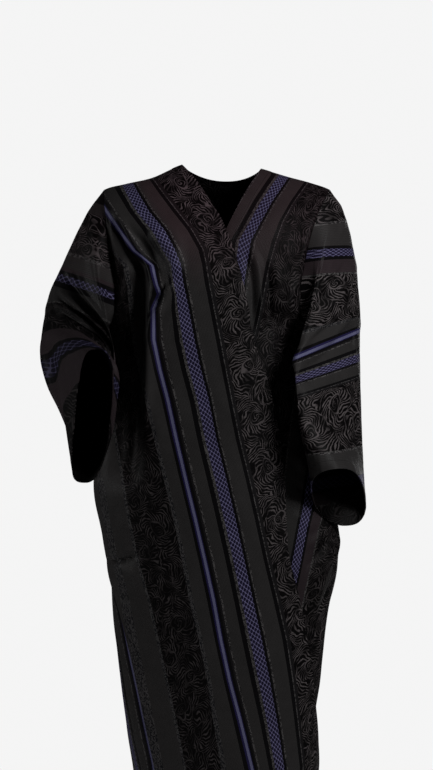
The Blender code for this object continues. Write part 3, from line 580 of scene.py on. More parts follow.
def back_top(x):
    """The back's upper edge: the shoulder seam, scooped between the neck points."""
    middle = (RIGHT_NECK_POINT + LEFT_NECK_POINT) / 2
    half = (LEFT_NECK_POINT - RIGHT_NECK_POINT) / 2
    return seam_height(x) - BACK_NECK_SCOOP * np.clip(1 - ((x - middle) / half) ** 2, 0, 1)


def angle_of(x, z):
    """The angle on the front half where the section at level z reaches x."""
    middle, half = middle_and_half(z)
    return np.arcsin(powered(np.clip((x - middle) / half, -1, 1), SECTION_POWER / 2))


def level_fall(z):
    """The fall of a level below the underarm."""
    return 1 + (z - UNDERARM_LEVEL) / (HEM_LEVEL - UNDERARM_LEVEL)


def fall_levels(falls):
    """The level of each fall below the underarm, and the underarm's level above it."""
    return UNDERARM_LEVEL + (HEM_LEVEL - UNDERARM_LEVEL) * np.maximum(falls - 1, 0)


def body_point(angle, fall, back):
    """A point of the body's outer face. The angle is 0 at the front's middle and a quarter turn at the
    left side; fall runs from 0 on the shoulder to 1 at the underarm and 2 at the hem."""
    top = back_top if back else seam_height
    across = powered(np.sin(angle), 2 / SECTION_POWER)
    deep = powered(np.cos(angle), 2 / SECTION_POWER)
    below = fall_levels(fall)
    z = np.where(fall < 1, UNDERARM_LEVEL * fall, below)
    for _ in range(YOKE_ROUNDS):
        middle, half = middle_and_half(z)
        x = middle + half * across
        z = np.where(fall < 1, top(x) * (1 - fall) + UNDERARM_LEVEL * fall, below)
    to_tip = np.clip(np.abs(across) / TIP_SHARE, 0, 1)
    drops = [at_neck + (at_tip - at_neck) * to_tip for at_neck, at_tip in (FRONT_DROPS, BACK_DROPS)]
    share = np.clip((seam_height(x) - z) / np.where(deep > 0, *drops), 0, 1)
    rounding = np.where(fall < 1, np.sqrt(1 - (1 - share) ** 2), 1.0)
    depth = np.where(deep > 0, body_section(z, "front"), body_section(z, "back"))
    return np.stack([x, -deep * depth * rounding, z], axis=-1)


def edge_angle(fall, edge, known=()):
    """The angle of a free edge at each fall, from its front view and from known levels and degrees."""
    on_yoke = (seam_height(edge.x) - edge.z) / (seam_height(edge.x) - UNDERARM_LEVEL)
    falls = np.where(edge.z > UNDERARM_LEVEL, on_yoke, level_fall(edge.z))
    rows = [*zip(falls, angle_of(edge.x, edge.z))]
    rows += [(level_fall(z), np.radians(degrees)) for z, degrees in known]
    return smooth_curve(*zip(*sorted(rows)), fall)


def armhole_angle(fall, armhole, name):
    """The angle of an armhole edge, measured as on the front half."""
    x = getattr(armhole, name)
    angles = angle_of(x, seam_height(x) * (1 - armhole.share) + UNDERARM_LEVEL * armhole.share)
    angles[-1] = np.sign(angles[-1]) * QUARTER
    return smooth_curve(armhole.share, angles, fall)


def front_side(falls, side):
    """The angle of a front's side edge: the armhole, the side seam, then the slit's edge."""
    below = edge_angle(falls, side.slit_edge, side.slit_angles)
    return np.where(falls < 1, armhole_angle(falls, side.armhole, "front"), below)


def back_side(falls, side):
    """The angle of the back's side edge: the armhole, the side seam, then under the front's edge."""
    level = fall_levels(falls)
    down = side.slit_top - level
    parted = SLIT_GAP * ease(down / SLIP_UNDER_HEIGHT)
    reach = UNDERLAP * ease((down - SLIP_UNDER_HEIGHT) / UNDERLAP_HEIGHT) - parted
    half = middle_and_half(level)[1]
    slit = edge_angle(falls, side.slit_edge, side.slit_angles) - side.sign * reach / half
    below = slit if side.sign > 0 else 2 * np.pi + slit
    return np.where(falls < 1, np.pi - armhole_angle(falls, side.armhole, "back"), below)


def spread(start, end, steps):
    """Rows of angles, each from its start to its end in even steps."""
    share = np.linspace(0, 1, steps + 1)
    return start[:, None] * (1 - share) + end[:, None] * share


def unit(vectors):
    return vectors / np.linalg.norm(vectors, axis=-1, keepdims=True)


def slope(points, axis, closed):
    """The change from point to point along an axis; a closed grid's columns run all the way round."""
    if closed:
        return (np.roll(points, -1, axis=axis) - np.roll(points, 1, axis=axis)) / 2
    return np.gradient(points, axis=axis)


def outward_normals(points, closed=False):
    """Unit normals of a grid, away from the wearer."""
    normals = unit(np.cross(slope(points, 1, closed), slope(points, 0, False)))
    middle = points.mean(axis=1, keepdims=True) if closed else BODY_MIDDLE
    return normals if np.sum(normals * (points - middle)) > 0 else -normals


def bend_lift(flat, knots, width, rise, runs_out):
    """How far a fold lifts each point of a plane, along a smooth bend through three knots."""
    bend = smooth_curve(range(3), knots, np.linspace(0, 2, BEND_STEPS + 1))
    nearest = np.full(flat.shape[:-1], np.inf)
    along = np.zeros(flat.shape[:-1])
    for i, (start, end) in enumerate(zip(bend, bend[1:])):
        run = end - start
        share = np.clip(((flat - start) @ run) / (run @ run), 0, 1)
        away = np.linalg.norm(flat - start - share[..., None] * run, axis=-1)
        along = np.where(away < nearest, (i + share) / BEND_STEPS, along)
        nearest = np.minimum(nearest, away)
    lift = rise * np.exp(-((nearest / width) ** 2))
    if runs_out:
        lift = lift * ease(along / CREASE_RUN_OUT) * ease((1 - along) / CREASE_RUN_OUT)
    return lift


def ripple(first, second):
    """A slight unevenness of the cloth, from two lengths in metres: waves of 5 to 17 cm that cross."""
    turns = 2 * np.pi
    waves = np.sin(turns * (first / 0.093 + 0.31 * np.sin(turns * second / 0.171)))
    waves = waves + 0.8 * np.sin(turns * (second / 0.127 + 0.27 * np.sin(turns * first / 0.149)) + 1.3)
    waves = waves + 0.6 * np.sin(turns * (first / 0.051 + second / 0.083) + 0.4)
    return RIPPLE * waves / 2.4


def row_falls(slit_tops):
    """The rows of every body panel: close on the shoulder's round, even below, one at each slit top."""
    shoulder = round(YOKE_ROWS * SHOULDER_PART)
    yoke = [*(SHOULDER_SHARE * (1 - np.cos(np.linspace(0, QUARTER, shoulder + 1))))]
    yoke += [*np.linspace(SHOULDER_SHARE, 1, YOKE_ROWS - shoulder + 1)[1:]]
    stops = [UNDERARM_LEVEL] + sorted(slit_tops, reverse=True) + [HEM_LEVEL]
    levels = []
    for upper, lower in zip(stops, stops[1:]):
        count = round(SKIRT_ROWS * (upper - lower) / (UNDERARM_LEVEL - HEM_LEVEL))
        levels += [*np.linspace(upper, lower, count + 1)[1:]]
    return np.array(yoke + [level_fall(z) for z in levels])


def body_panel(angles, falls, folds, creases, armholes, sunk=0.0, back=False):
    """A body panel's outer face: lifted by its folds, sunk at its armholes and under its neighbour. The
    armholes are the ends of its rows that lie at one: 0 the first, 1 the last."""
    points = body_point(angles, np.broadcast_to(falls[:, None], angles.shape), back)
    flat = points[..., [0, 2]]
    ends = np.linspace(0, 1, points.shape[1])
    from_edge = np.minimum(ends, 1 - ends)
    row_share = (np.arange(len(points)) / YOKE_ROWS)[:, None]
    large = sum(bend_lift(flat, row[:6].reshape(3, 2), *row[6:], False) for row in folds)
    small = sum(bend_lift(flat, row[:6].reshape(3, 2), *row[6:], True) for row in creases)
    small = small + ripple(points[..., 0], points[..., 2])
    lift = large * ease(from_edge / FOLD_FADE_AT_EDGE) * ease(row_share / SHOULDER_PART)
    lift = lift + small * ease(from_edge / CREASE_FADE_AT_EDGE) * ease(row_share / CREASE_ROW_FADE)
    deepest = ARMHOLE_SINK * np.sin(np.pi * np.clip(falls, 0, 1)) ** ARMHOLE_SINK_POWER
    valley = np.max([1 - ease(from_side(points, end) / ARMHOLE_SINK_WIDTH) for end in armholes], axis=0)
    return points + outward_normals(points) * (lift - sunk - valley * deepest[:, None])[..., None]


def from_side(points, end):
    """Length in metres from each point to its row's first point (end 0) or last point (end 1)."""
    across = lengths_along(points, 1)
    return across[:, -1:] - across if end else across


def right_front_points(falls):
    free_edge = edge_angle(falls, RIGHT_FRONT_EDGE, RIGHT_FRONT_EDGE_ANGLES)
    angles = spread(front_side(falls, RIGHT), free_edge, RIGHT_FRONT_COLUMNS)
    return body_panel(angles, falls, RIGHT_FRONT_FOLDS, RIGHT_FRONT_CREASES, (0,))


def left_front_points(falls):
    side = front_side(falls, LEFT)
    angles = spread(edge_angle(falls, LEFT_FRONT_EDGE), side, LEFT_FRONT_COLUMNS)
    under_wrap = ease((side[:, None] - angles) / WRAP_EASE_TURN) * ease(falls / WRAP_EASE_FALL)[:, None]
    sunk = LAYER_STEP * np.maximum(under_wrap, side_layers(fall_levels(falls)[:, None]))
    return body_panel(angles, falls, LEFT_FRONT_FOLDS, LEFT_FRONT_CREASES, (1,), sunk)


def back_points(falls):
    """The back, from the left side round to the right."""
    angles = spread(back_side(falls, LEFT), back_side(falls, RIGHT), BACK_COLUMNS)
    level = fall_levels(falls)[:, None]
    from_left = ease((LEFT_SIDE_FROM - angles) / SIDE_EASE_TURN)
    from_right = ease((angles - RIGHT_SIDE_FROM) / SIDE_EASE_TURN)
    left_steps = ease((LEFT_SLIT_TOP - level) / SLIP_UNDER_HEIGHT) + side_layers(level)
    right_steps = ease((RIGHT_SLIT_TOP - level) / SLIP_UNDER_HEIGHT)
    sunk = LAYER_STEP * (left_steps * from_left + right_steps * from_right)
    return body_panel(angles, falls, BACK_FOLDS, BACK_CREASES, (0, 1), sunk, back=True)


def side_layers(level):
    """How far the left front's side has sunk under the wrap, from 0 to 1."""
    return ease((SIDE_LAYERS_FROM - level) / (SIDE_LAYERS_FROM - SIDE_LAYERS_BY))


def ring(section, turns):
    """A sleeve section as a closed curve through its outer, front, inner and rear points."""
    outer, front, inner, rear = section[:12].reshape(4, 3)
    across = powered(np.cos(turns), section[12])
    deep = powered(np.sin(turns), section[12])
    middle = (outer + front + inner + rear) / 4
    points = middle + across[:, None] * (outer - inner) / 2 + deep[:, None] * (front - rear) / 2
    return points + np.cos(2 * turns)[:, None] * (outer - front + inner - rear) / 4


def half_turns(edge):
    """Angles from 0 to half a turn, shared out by the length along an edge."""
    along = lengths_along(edge, 0)
    return np.pi * along / along[-1]


def bowed(row, size, bow):
    """Three knots of a sleeve's fold: its ends, and its middle moved sideways by a share of its run."""
    start, end = row[:4].reshape(2, 2) * size
    return start, (start + end) / 2 + np.array((start[1] - end[1], end[0] - start[0])) * bow, end


def sleeve_points(front_edge, back_edge, sections, folds, creases):
    """A sleeve's outer face: rings from the armhole to the cuff, round from the outer line."""
    armhole = np.concatenate([front_edge, back_edge[::-1][1:-1]])
    turns = np.concatenate([half_turns(front_edge), 2 * np.pi - half_turns(back_edge)[::-1][1:-1]])
    rings = np.array([armhole] + [ring(section, turns) for section in sections])
    points = smooth_curve(range(len(rings)), rings, np.linspace(0, len(sections), RINGS + 1))
    along = np.linspace(0, 1, len(points))
    length = lengths_along(points, 0)[-1].mean()
    girth = lengths_along(points, 1)[:, -1].mean()
    flat = np.stack(np.meshgrid(turns / (2 * np.pi) * girth, along * length), axis=-1)
    size = (girth, length)
    large = sum(bend_lift(flat, bowed(row, size, 0.0), *row[4:], False) for row in folds)
    small = sum(bend_lift(flat, bowed(row, size, CREASE_BOW), *row[4:], True) for row in creases)
    round_x, round_y = RIPPLE_ROUND[0] * np.cos(turns), RIPPLE_ROUND[1] * np.sin(turns)
    small = small + ripple(round_x + flat[..., 1], flat[..., 1] + round_y)
    lift = large * ease(along / FOLD_RUN_IN)[:, None] + small * ease(along / CREASE_RUN_OUT)[:, None]
    return points + outward_normals(points, closed=True) * lift[..., None]


def crossing_length(past, lengths):
    """On each row, the running length at which past turns from negative to positive."""
    found = np.zeros(len(past))
    for i, row in enumerate(past):
        order = np.argsort(row)
        found[i] = np.interp(0.0, row[order], lengths[i][order])
    return found


def front_stripes(points, table, across, outer, lean, inner=None):
    """Lengths across and along a front's stripes: by the table's lines, and by the cloth's length from
    the outermost line (its index is outer) on to the side and from the inner one on to the free edge."""
    x, z = points[..., 0], points[..., 2]
    levels, *places = table.T
    lines = [np.interp(-z, -levels, place) for place in places]
    lengths = lengths_along(points, 1)
    value = np.zeros(x.shape)
    for i in range(len(across) - 1):
        share = (x - lines[i]) / (lines[i + 1] - lines[i])
        inside = (i == 0) | (x >= lines[i])
        inside = inside & ((i == len(across) - 2) | (x < lines[i + 1]))
        value = np.where(inside, across[i] + share * (across[i + 1] - across[i]), value)
    neighbour = 1 if outer == 0 else outer - 1
    at_line = crossing_length(x - lines[outer], lengths)
    gap = crossing_length(x - lines[neighbour], lengths) - at_line
    crossed = np.abs(gap) > LEAST_GAP
    density = np.clip((across[neighbour] - across[outer]) / np.where(crossed, gap, 1.0), *DENSITY_LIMITS)
    beyond = across[outer] + (lengths - at_line[:, None]) * np.where(crossed, density, 1.0)[:, None]
    value = np.where(x < lines[0] if outer == 0 else x > lines[outer], beyond, value)
    if inner is not None:
        from_inner = lengths - crossing_length(x - lines[inner], lengths)[:, None]
        value = np.where(from_inner > 0, across[inner] + from_inner, value)
    return np.stack([value, lean * x + LEAN_SHARE * lengths_along(points[..., 1:], 0)], axis=-1)


def back_stripes(points):
    """Lengths across and along the back's stripes: they hang straight in the middle, and beside the
    right slit they run beside its edge, by an offset that is held above the slit and eased in."""
    x = points[..., 0]
    lengths = lengths_along(points, 1)
    middle = crossing_length((RIGHT_NECK_POINT + LEFT_NECK_POINT) / 2 - x, lengths)
    level = points[:, -1, 2]
    reference = np.interp(-level, -BACK_BLUE_LINE.z, BACK_BLUE_LINE.x)
    wrapped = crossing_length(np.where(points[..., 1] < 0, x - reference[:, None], -1.0), lengths)
    moved = BLUE_ACROSS + wrapped - BACK_MIDDLE_ACROSS - middle
    below = level < BESIDE_SLIT_BELOW
    moved = np.interp(-level, -level[below], moved[below])
    moved = moved * ease((BESIDE_SLIT_LEVEL - level) / BESIDE_SLIT_HEIGHT)
    near = ease((lengths / lengths[below][0, -1] - BESIDE_SLIT_FROM) / BESIDE_SLIT_OVER)
    value = BACK_MIDDLE_ACROSS - (lengths - middle[:, None]) + moved[:, None] * near
    return np.stack([value, lengths_along(points[..., 1:], 0)], axis=-1)


def fan_across(points, table):
    """Length across the stripes of a sleeve, between lines seen from the front."""
    past = []
    for x_from, z_from, x_to, z_to in table[:, 1:]:
        run = unit(np.array((x_to - x_from, z_to - z_from)))
        run = run * np.sign(run[0])
        past.append(run[1] * (points[..., 0] - x_from) - run[0] * (points[..., 2] - z_from))
    across = table[:, 0]
    sense = np.sign(across[1] - across[0])
    value = across[0] + sense * past[0]
    for i in range(len(across) - 1):
        share = past[i] / np.maximum(past[i] - past[i + 1], LEAST_SPAN)
        inside = (past[i] >= 0) & (past[i + 1] < 0)
        value = np.where(inside, across[i] + share * (across[i + 1] - across[i]), value)
    return np.where(past[-1] >= 0, across[-1] + sense * past[-1], value)


def sleeve_stripes(points, table, forearm):
    """Lengths across and along a sleeve's stripes. The second one counts, from the outer line round,
    only what each step goes beside the stripes."""
    value = fan_across(points, table)
    if forearm:
        share = np.linspace(0, 1, len(points))
        square = FOREARM_ACROSS - (points - FOREARM_POINT) @ FOREARM_LINE
        weight = ease((share - FOREARM_FROM) / (FOREARM_BY - FOREARM_FROM))
        value = value + (square - value) * weight[:, None]
    value = np.concatenate([value, value[:, :1]], axis=1)
    closing = np.concatenate([points, points[:, :1]], axis=1)
    steps = np.linalg.norm(np.diff(closing, axis=1), axis=-1)
    least = (LEAST_BESIDE * steps) ** 2
    beside = np.sqrt(np.maximum(steps**2 - np.diff(value, axis=1) ** 2, least))
    return np.stack([value, ROUND_SHARE * running(beside, 1)], axis=-1)


def draw_back(points, closed):
    """Draws a grid's edges back from the seams, each square to itself into its piece."""
    drawn = points.copy()
    ends = [(drawn, points, 0, 1), (drawn, points, -1, -2)]
    if not closed:
        sides = drawn.swapaxes(0, 1), points.swapaxes(0, 1)
        ends += [(*sides, 0, 1), (*sides, -1, -2)]
    for moved, grid, edge, inside in ends:
        run = unit(slope(grid[edge], 0, closed))
        pull = grid[inside] - grid[edge]
        pull = unit(pull - np.sum(pull * run, axis=1, keepdims=True) * run)
        moved[edge] += pull * (SLEEVE_DRAWN_BACK if closed and edge == 0 else EDGE_DRAWN_BACK)
    return drawn


def make_panel(points, stripes, *free_below):
    """What a piece's mesh is made from. Its first and last columns are free below these levels; a
    sleeve has none, because its grid is closed."""
    closed = not free_below
    return Panel(points, stripes, free_below, closed, outward_normals(points, closed))


def share_seam_normals(panels):
    """Gives the points that sewn pieces share one normal, so that their walls meet in one plane."""
    shared = {}
    for panel in panels.values():
        rows, count = panel.points.shape[:2]
        rim = {(0, j) for j in range(count)}
        if not panel.closed:
            rim |= {(i, j) for i in range(rows) for j in (0, count - 1)}
        for index in sorted(rim):
            key = tuple(np.round(panel.points[index] * SEAM_GRID).astype(int))
            shared.setdefault(key, []).append((panel, index))
    for meeting in shared.values():
        total = 0
        for panel, index in meeting:
            weight = max(1, len(meeting) - 1) if panel.closed else 1
            total = total + weight * panel.normals[index]
        for panel, index in meeting:
            panel.normals[index] = unit(total)


def hem_distances(panel, falls):
    """Length in metres from each point to its piece's nearest finished edge."""
    down = lengths_along(panel.points, 0)
    distance = down[-1:] - down
    for end, level in enumerate(panel.free_below):
        sewn = falls < level_fall(level) - SAME_FALL
        distance = np.minimum(distance, from_side(panel.points, end) + SEWN * sewn[:, None])
    return distance


def quads(first, second, axis=1):
    """Corners, or their values, of the faces between two neighbouring lines."""
    return np.stack([first[:-1], first[1:], second[1:], second[:-1]], axis=axis)


def sheet_mesh(name, panel, falls):
    """A closed thin sheet of cloth between a grid of points and the same grid moved in. It keeps the
    lengths across and along the stripes, the distance to a finished edge, and what is the reverse."""
    closed, stripes = panel.closed, panel.stripes
    hem = hem_distances(panel, falls)
    doubled = HEM_RISE * (1 - ease((hem - HEM_WIDTH) / HEM_STEP))
    outer = draw_back(panel.points, closed) + panel.normals * doubled[..., None]
    inner = outer - panel.normals * (THICKNESS + doubled)[..., None]
    rows, count = outer.shape[:2]
    index = np.arange(rows * count).reshape(rows, count)
    if closed:
        index = np.concatenate([index, index[:, :1]], axis=1)
    under = index + rows * count
    corners = quads(index[:, :-1], index[:, 1:], 2).reshape(-1, 4)
    values = quads(stripes[:, :-1], stripes[:, 1:], 2)
    rims = [(index[0], under[0], stripes[0], 1), (index[-1], under[-1], stripes[-1], -1)]
    if closed:
        girth = stripes[:, -1, 1]
        values[:, count // 2 :, :, 1] -= quads(girth, girth)[:, None, :]
    else:
        rims.append((index[:, 0], under[:, 0], stripes[:, 0], -1))
        rims.append((index[:, -1], under[:, -1], stripes[:, -1], 1))
    values = values.reshape(-1, 4, 2)
    faces = [corners, corners[:, ::-1] + rows * count]
    faces += [quads(line, below)[:, ::turn] for line, below, value, turn in rims]
    values = [values, values[:, ::-1]]
    values += [quads(value, value)[:, ::turn] for line, below, value, turn in rims]
    faces = np.concatenate(faces)
    values = np.concatenate(values)
    points = np.concatenate([outer.reshape(-1, 3), inner.reshape(-1, 3)])
    if signed_volume(points[faces]) < 0:
        faces = faces[:, ::-1]
        values = values[:, ::-1]
    mesh = bpy.data.meshes.new(name)
    mesh.from_pydata(points.tolist(), [], faces.tolist())
    layer = mesh.uv_layers.new(name=STRIPE_MAP)
    layer.data.foreach_set("uv", np.ascontiguousarray(values, dtype=np.float32).ravel())
    reverse = np.zeros(len(faces))
    reverse[len(corners) : 2 * len(corners)] = 1.0
    from_hem = np.tile(np.minimum(hem, HEM_FAR).ravel(), 2)
    for field, domain, data in ((HEM_FIELD, "POINT", from_hem), (REVERSE_FIELD, "FACE", reverse)):
        attribute = mesh.attributes.new(field, "FLOAT", domain)
        attribute.data.foreach_set("value", data.astype(np.float32))
    mesh.update()
    mesh.shade_smooth()
    mesh.set_sharp_from_angle(angle=SHARP_ANGLE)
    return mesh


def signed_volume(corners):
    """Six times the volume that some faces enclose, negative when they face in."""
    first, second, third, fourth = corners.transpose(1, 0, 2)
    return np.sum(first * (np.cross(second, third) + np.cross(third, fourth)))


def feed(socket, value):
    """Gives a socket a wire's value, or plain numbers."""
    if isinstance(value, Wire):
        socket.id_data.links.new(value.socket, socket)
    else:
        socket.default_value = value


def add_node(tree, kind, inputs=(), output=0, **settings):
    """One output of a new node; its inputs are wires or plain numbers, by their name or place."""
    node = tree.nodes.new("ShaderNode" + kind)
    for name, value in settings.items():
        setattr(node, name, value)
    for name, value in dict(inputs).items():
        feed(node.inputs[name], value)
    return Wire(node.outputs[output])


def math_node(operation, *values):
    """One Math node on wires and numbers."""
    tree = next(value.tree for value in values if isinstance(value, Wire))
    return add_node(tree, "Math", enumerate(values), operation=operation)


def operators(operation):
    """Wire's methods for one operation, with the wire before and after the other value."""
    return (
        lambda wire, other: math_node(operation, wire, other),
        lambda wire, other: math_node(operation, other, wire),
    )


class Wire:
    """A value in a node tree that ordinary arithmetic works on."""

    def __init__(self, socket):
        self.socket = socket
        self.tree = socket.id_data

    __add__, __radd__ = operators("ADD")
    __sub__, __rsub__ = operators("SUBTRACT")
    __mul__, __rmul__ = operators("MULTIPLY")
    __truediv__, __rtruediv__ = operators("DIVIDE")
    __mod__, __rmod__ = operators("FLOORED_MODULO")


def sine(turns):
    """The sine of a number of whole turns."""
    return math_node("SINE", turns * (2 * np.pi))


def absolute(value):
    return math_node("ABSOLUTE", value)


def highest(value, *others):
    for other in others:
        value = math_node("MAXIMUM", value, other)
    return value


def step_up(value, start, end):
    """0 below start, 1 above end, smooth between them."""
    inputs = {"Value": value, "From Min": start, "From Max": end}
    return add_node(value.tree, "MapRange", inputs, "Result", interpolation_type="SMOOTHSTEP")


def mix(share, low, high):
    """Between two colours, each a wire or plain numbers."""
    low, high = (end if isinstance(end, Wire) else (*end, 1.0) for end in (low, high))
    return add_node(share.tree, "Mix", {0: share, 6: low, 7: high}, 2, data_type="RGBA")


def noise(place, scale, detail=2.0):
    return add_node(place.tree, "TexNoise", {"Scale": scale, "Detail": detail, "Vector": place}, "Fac")


def vector_of(*parts):
    return add_node(parts[0].tree, "CombineXYZ", enumerate(parts))


def parts_of(vector):
    node = add_node(vector.tree, "SeparateXYZ", {0: vector}).socket.node
    return [Wire(socket) for socket in node.outputs]


def band_ramp(place, bands, names):
    """Three looks of each of some bands, along a place that runs from 0 to 1."""
    ramp_colour = add_node(place.tree, "ValToRGB", {"Fac": place}, "Color")
    ramp = ramp_colour.socket.node.color_ramp
    ramp.interpolation = "CONSTANT"
    whole = sum(width for kind, width in bands)
    start = 0.0
    for i, (kind, width) in enumerate(bands):
        if 0 < i < len(bands) - 1:
            stop = ramp.elements.new(start / whole)
        else:
            stop = ramp.elements[0 if i == 0 else -1]
        stop.position = start / whole
        stop.color = (*(getattr(KINDS[kind], name) for name in names), 1.0)
        start += width
    return ramp_colour


def band_looks(across, names):
    """Three looks of the kind of band at each length across the stripes."""
    repeated = band_ramp(math_node("FRACT", (across - REPEAT_START) / REPEAT), BANDS, names)
    beside = band_ramp((across - SIDE_START) / SIDE, SIDE_BANDS, names)
    return mix(math_node("LESS_THAN", across, REPEAT_START), repeated, beside)


def wobble(place):
    """A slow and a quick unevenness added up, in metres, as much to one side as to the other."""
    slow, quick = ((noise(place, scale, 0.0) - 0.5) * size for size, scale in SCROLL_WOBBLES)
    return slow + quick


def scroll_pattern(across, along, thin):
    """Rosettes in two staggered columns: a ringed eye, fine petals, and hatched leaves between."""
    places = (
        (across + SCROLL_COLUMN, (along % SCROLL_PITCH) - SCROLL_PITCH / 2),
        (SCROLL_COLUMN - across, SCROLL_PITCH / 2 - ((along + SCROLL_PITCH / 2) % SCROLL_PITCH)),
    )
    left_radius, right_radius = (math_node("SQRT", side * side + up * up) for side, up in places)
    left_turn, right_turn = (math_node("ARCTAN2", up, side) / (2 * np.pi) for side, up in places)
    nearer = math_node("LESS_THAN", left_radius, right_radius)
    radius = math_node("MINIMUM", left_radius, right_radius)
    turn = right_turn + (left_turn - right_turn) * nearer
    thin = (thin - 0.5) * STROKE_UNEVEN
    eye = step_up(sine(radius / COIL_PITCH - turn * COIL_TURNS) + thin, *COIL_STROKE) * COIL_STRENGTH
    eye = eye * step_up(radius - RING_RADIUS, *EYE_EDGE)
    rim = step_up(absolute(radius - RING_RADIUS), *RING_STROKE) * RING_STRENGTH
    petals = step_up(sine(turn * PETALS + radius / PETAL_TILT) + thin, *FINE_STROKE)
    petals = petals * step_up(radius - RING_RADIUS, *PETAL_EDGE)
    petals = petals * step_up(radius, PETAL_RADIUS + PETAL_FADE, PETAL_RADIUS)
    outside = step_up(radius, PETAL_RADIUS, PETAL_RADIUS + PETAL_FADE)
    leaves = step_up(sine(turn * LEAVES + radius / LOBE_PITCH + LEAF_TURN), *LEAF_STROKE)
    hatch = step_up(sine(radius / HATCH_PITCH + turn * HATCH_TURNS) + thin, *FINE_STROKE) * leaves
    return highest(eye, rim, petals, hatch * outside)


def warmed(colour, cast):
    """The same colour with the warmer cast that it has near the shoulders."""
    return add_node(colour.tree, "VectorMath", {0: colour, 1: cast}, operation="MULTIPLY")


def jacquard(name, cloth):
    """The striped cloth: its colour, roughness and raised threads follow the lengths across and along."""
    material = bpy.data.materials.new(name)
    material.use_nodes = True
    tree = material.node_tree
    across, along = parts_of(add_node(tree, "UVMap", output="UV", uv_map=STRIPE_MAP))[:2]
    place = add_node(tree, "TexCoord", output="Object")
    uneven = noise(place, UNEVEN_SCALE)
    cloudy = noise(place, CLOUD_SCALE, 3.0)

    ground = band_looks(across, ("red", "green", "blue"))
    flower, lattice, ribs = parts_of(band_looks(across, ("flower", "lattice", "ribs")))
    lurex, gloss = parts_of(band_looks(across, ("lurex", "gloss", "ribs")))[:2]

    beside = math_node("LESS_THAN", across, REPEAT_START)
    repeated = ((across - REPEAT_START) % REPEAT) + REPEAT_START
    local = repeated + (across + SIDE_FLOWER_SHIFT - repeated) * beside
    from_flower = ((local - FLOWER_MIDDLE + FLOWER_SPACE / 2) % FLOWER_SPACE) - FLOWER_SPACE / 2
    cloth_place = vector_of(across, along)
    turned_place = vector_of(along, across)
    thin = noise(cloth_place, STROKE_SCALE, 1.0)
    faded = noise(turned_place, STROKE_FADE_SCALE, 1.0)
    strokes = scroll_pattern(from_flower + wobble(cloth_place), along + wobble(turned_place), thin)
    # The piece's stroke strength and the weaker flower share of the darker band copies are painted
    # shading of the scrolls
    scrolls = strokes * flower * (0.20 + step_up(faded, *FADED_STROKE) * 0.95) * cloth.strokes
    first = absolute(sine(along / LATTICE_PITCH + across / LATTICE_ACROSS))
    second = absolute(sine(along / LATTICE_PITCH - across / LATTICE_ACROSS))
    crossed = step_up(first * second, *LATTICE_STROKE) * lattice * cloth.lattice
    cell = (math_node("FLOOR", across / LUREX_CELL), math_node("FLOOR", along / LUREX_CELL_LENGTH))
    cells = add_node(tree, "TexWhiteNoise", {"Vector": vector_of(*cell)}, "Value")
    glints = step_up(cells, *GLINT_STROKE) * lurex
    ribbed = (sine(across / RIB_PITCH) * 0.5 + 0.5) * ribs
    weave = sine(across / WEAVE_PITCH) * sine(along / WEAVE_PITCH)
    from_hem = add_node(tree, "Attribute", output="Fac", attribute_name=HEM_FIELD)
    stitch_row = step_up(absolute(from_hem - STITCH_FROM_EDGE), *STITCH_EDGE)
    dashes = step_up(sine((along + across) / STITCH_LENGTH), *STITCH_DASH)
    reverse = add_node(tree, "Attribute", output="Fac", attribute_name=REVERSE_FIELD)

    warm = step_up(parts_of(place)[2], *WARM_LEVELS) * cloth.warmth
    warm = warm * step_up(across, cloth.warm_from - WARM_EDGE, cloth.warm_from + WARM_EDGE)
    colour = mix(warm, ground, warmed(ground, WARM_GROUND))
    colour = mix(scrolls, colour, SCROLL_COLOUR)
    colour = mix(glints, colour, LUREX_COLOUR)
    colour = mix(warm, colour, warmed(colour, WARM_CAST))
    colour = mix(crossed, colour, LATTICE_COLOUR)
    # This mixes the cloth's own uneven tone, ribs, weave and stitches with painted shade: the reverse
    # face drawn darker, and each whole piece darker or lighter by its cloth
    shade = (0.82 + cloudy * 0.36) * (1.0 - ribbed * 0.16) * (1.0 + weave * 0.05) * (0.88 + uneven * 0.24)
    shade = shade * (1.0 - stitch_row * dashes * 0.35)
    shade = shade * (1.0 - reverse * (1.0 - REVERSE_PAINTED_SHADE)) * cloth.shade
    painted = add_node(tree, "VectorMath", {0: colour, "Scale": shade}, operation="SCALE")

    rough = ROUGHNESS - gloss * 0.16 - glints * 0.12 + scrolls * 0.06 + (uneven - 0.5) * 0.10
    height = ribbed * 0.45 + scrolls * 0.8 + crossed * 0.7 + glints * 0.5 + weave * 0.22
    height = height + (uneven - 0.5) * 0.5 - stitch_row * (1.0 - dashes * 0.5) * 1.2
    bump = {"Strength": BUMP_STRENGTH, "Distance": BUMP_HEIGHT, "Height": height}
    shader = tree.nodes["Principled BSDF"]
    for socket, value in (
        ("Base Color", painted),
        ("Roughness", rough),
        ("Normal", add_node(tree, "Bump", bump, "Normal")),
        ("Specular IOR Level", SPECULAR),
        ("Sheen Weight", SHEEN_WEIGHT),
        ("Sheen Roughness", SHEEN_ROUGHNESS),
        ("Sheen Tint", SHEEN_TINT),
    ):
        feed(shader.inputs[socket], value)
    return material


def show(name, data):
    """A new object in the scene."""
    shown = bpy.data.objects.new(name, data)
    bpy.context.scene.collection.objects.link(shown)
    return shown


def add_cloth(name, panel, falls):
    mesh = sheet_mesh(name + "_sheet", panel, falls)
    mesh.materials.append(jacquard(name + "_jacquard", CLOTHS[name]))
    piece = show(name + "_sheet", mesh)
    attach(piece, "root")
    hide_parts(name)
    return piece


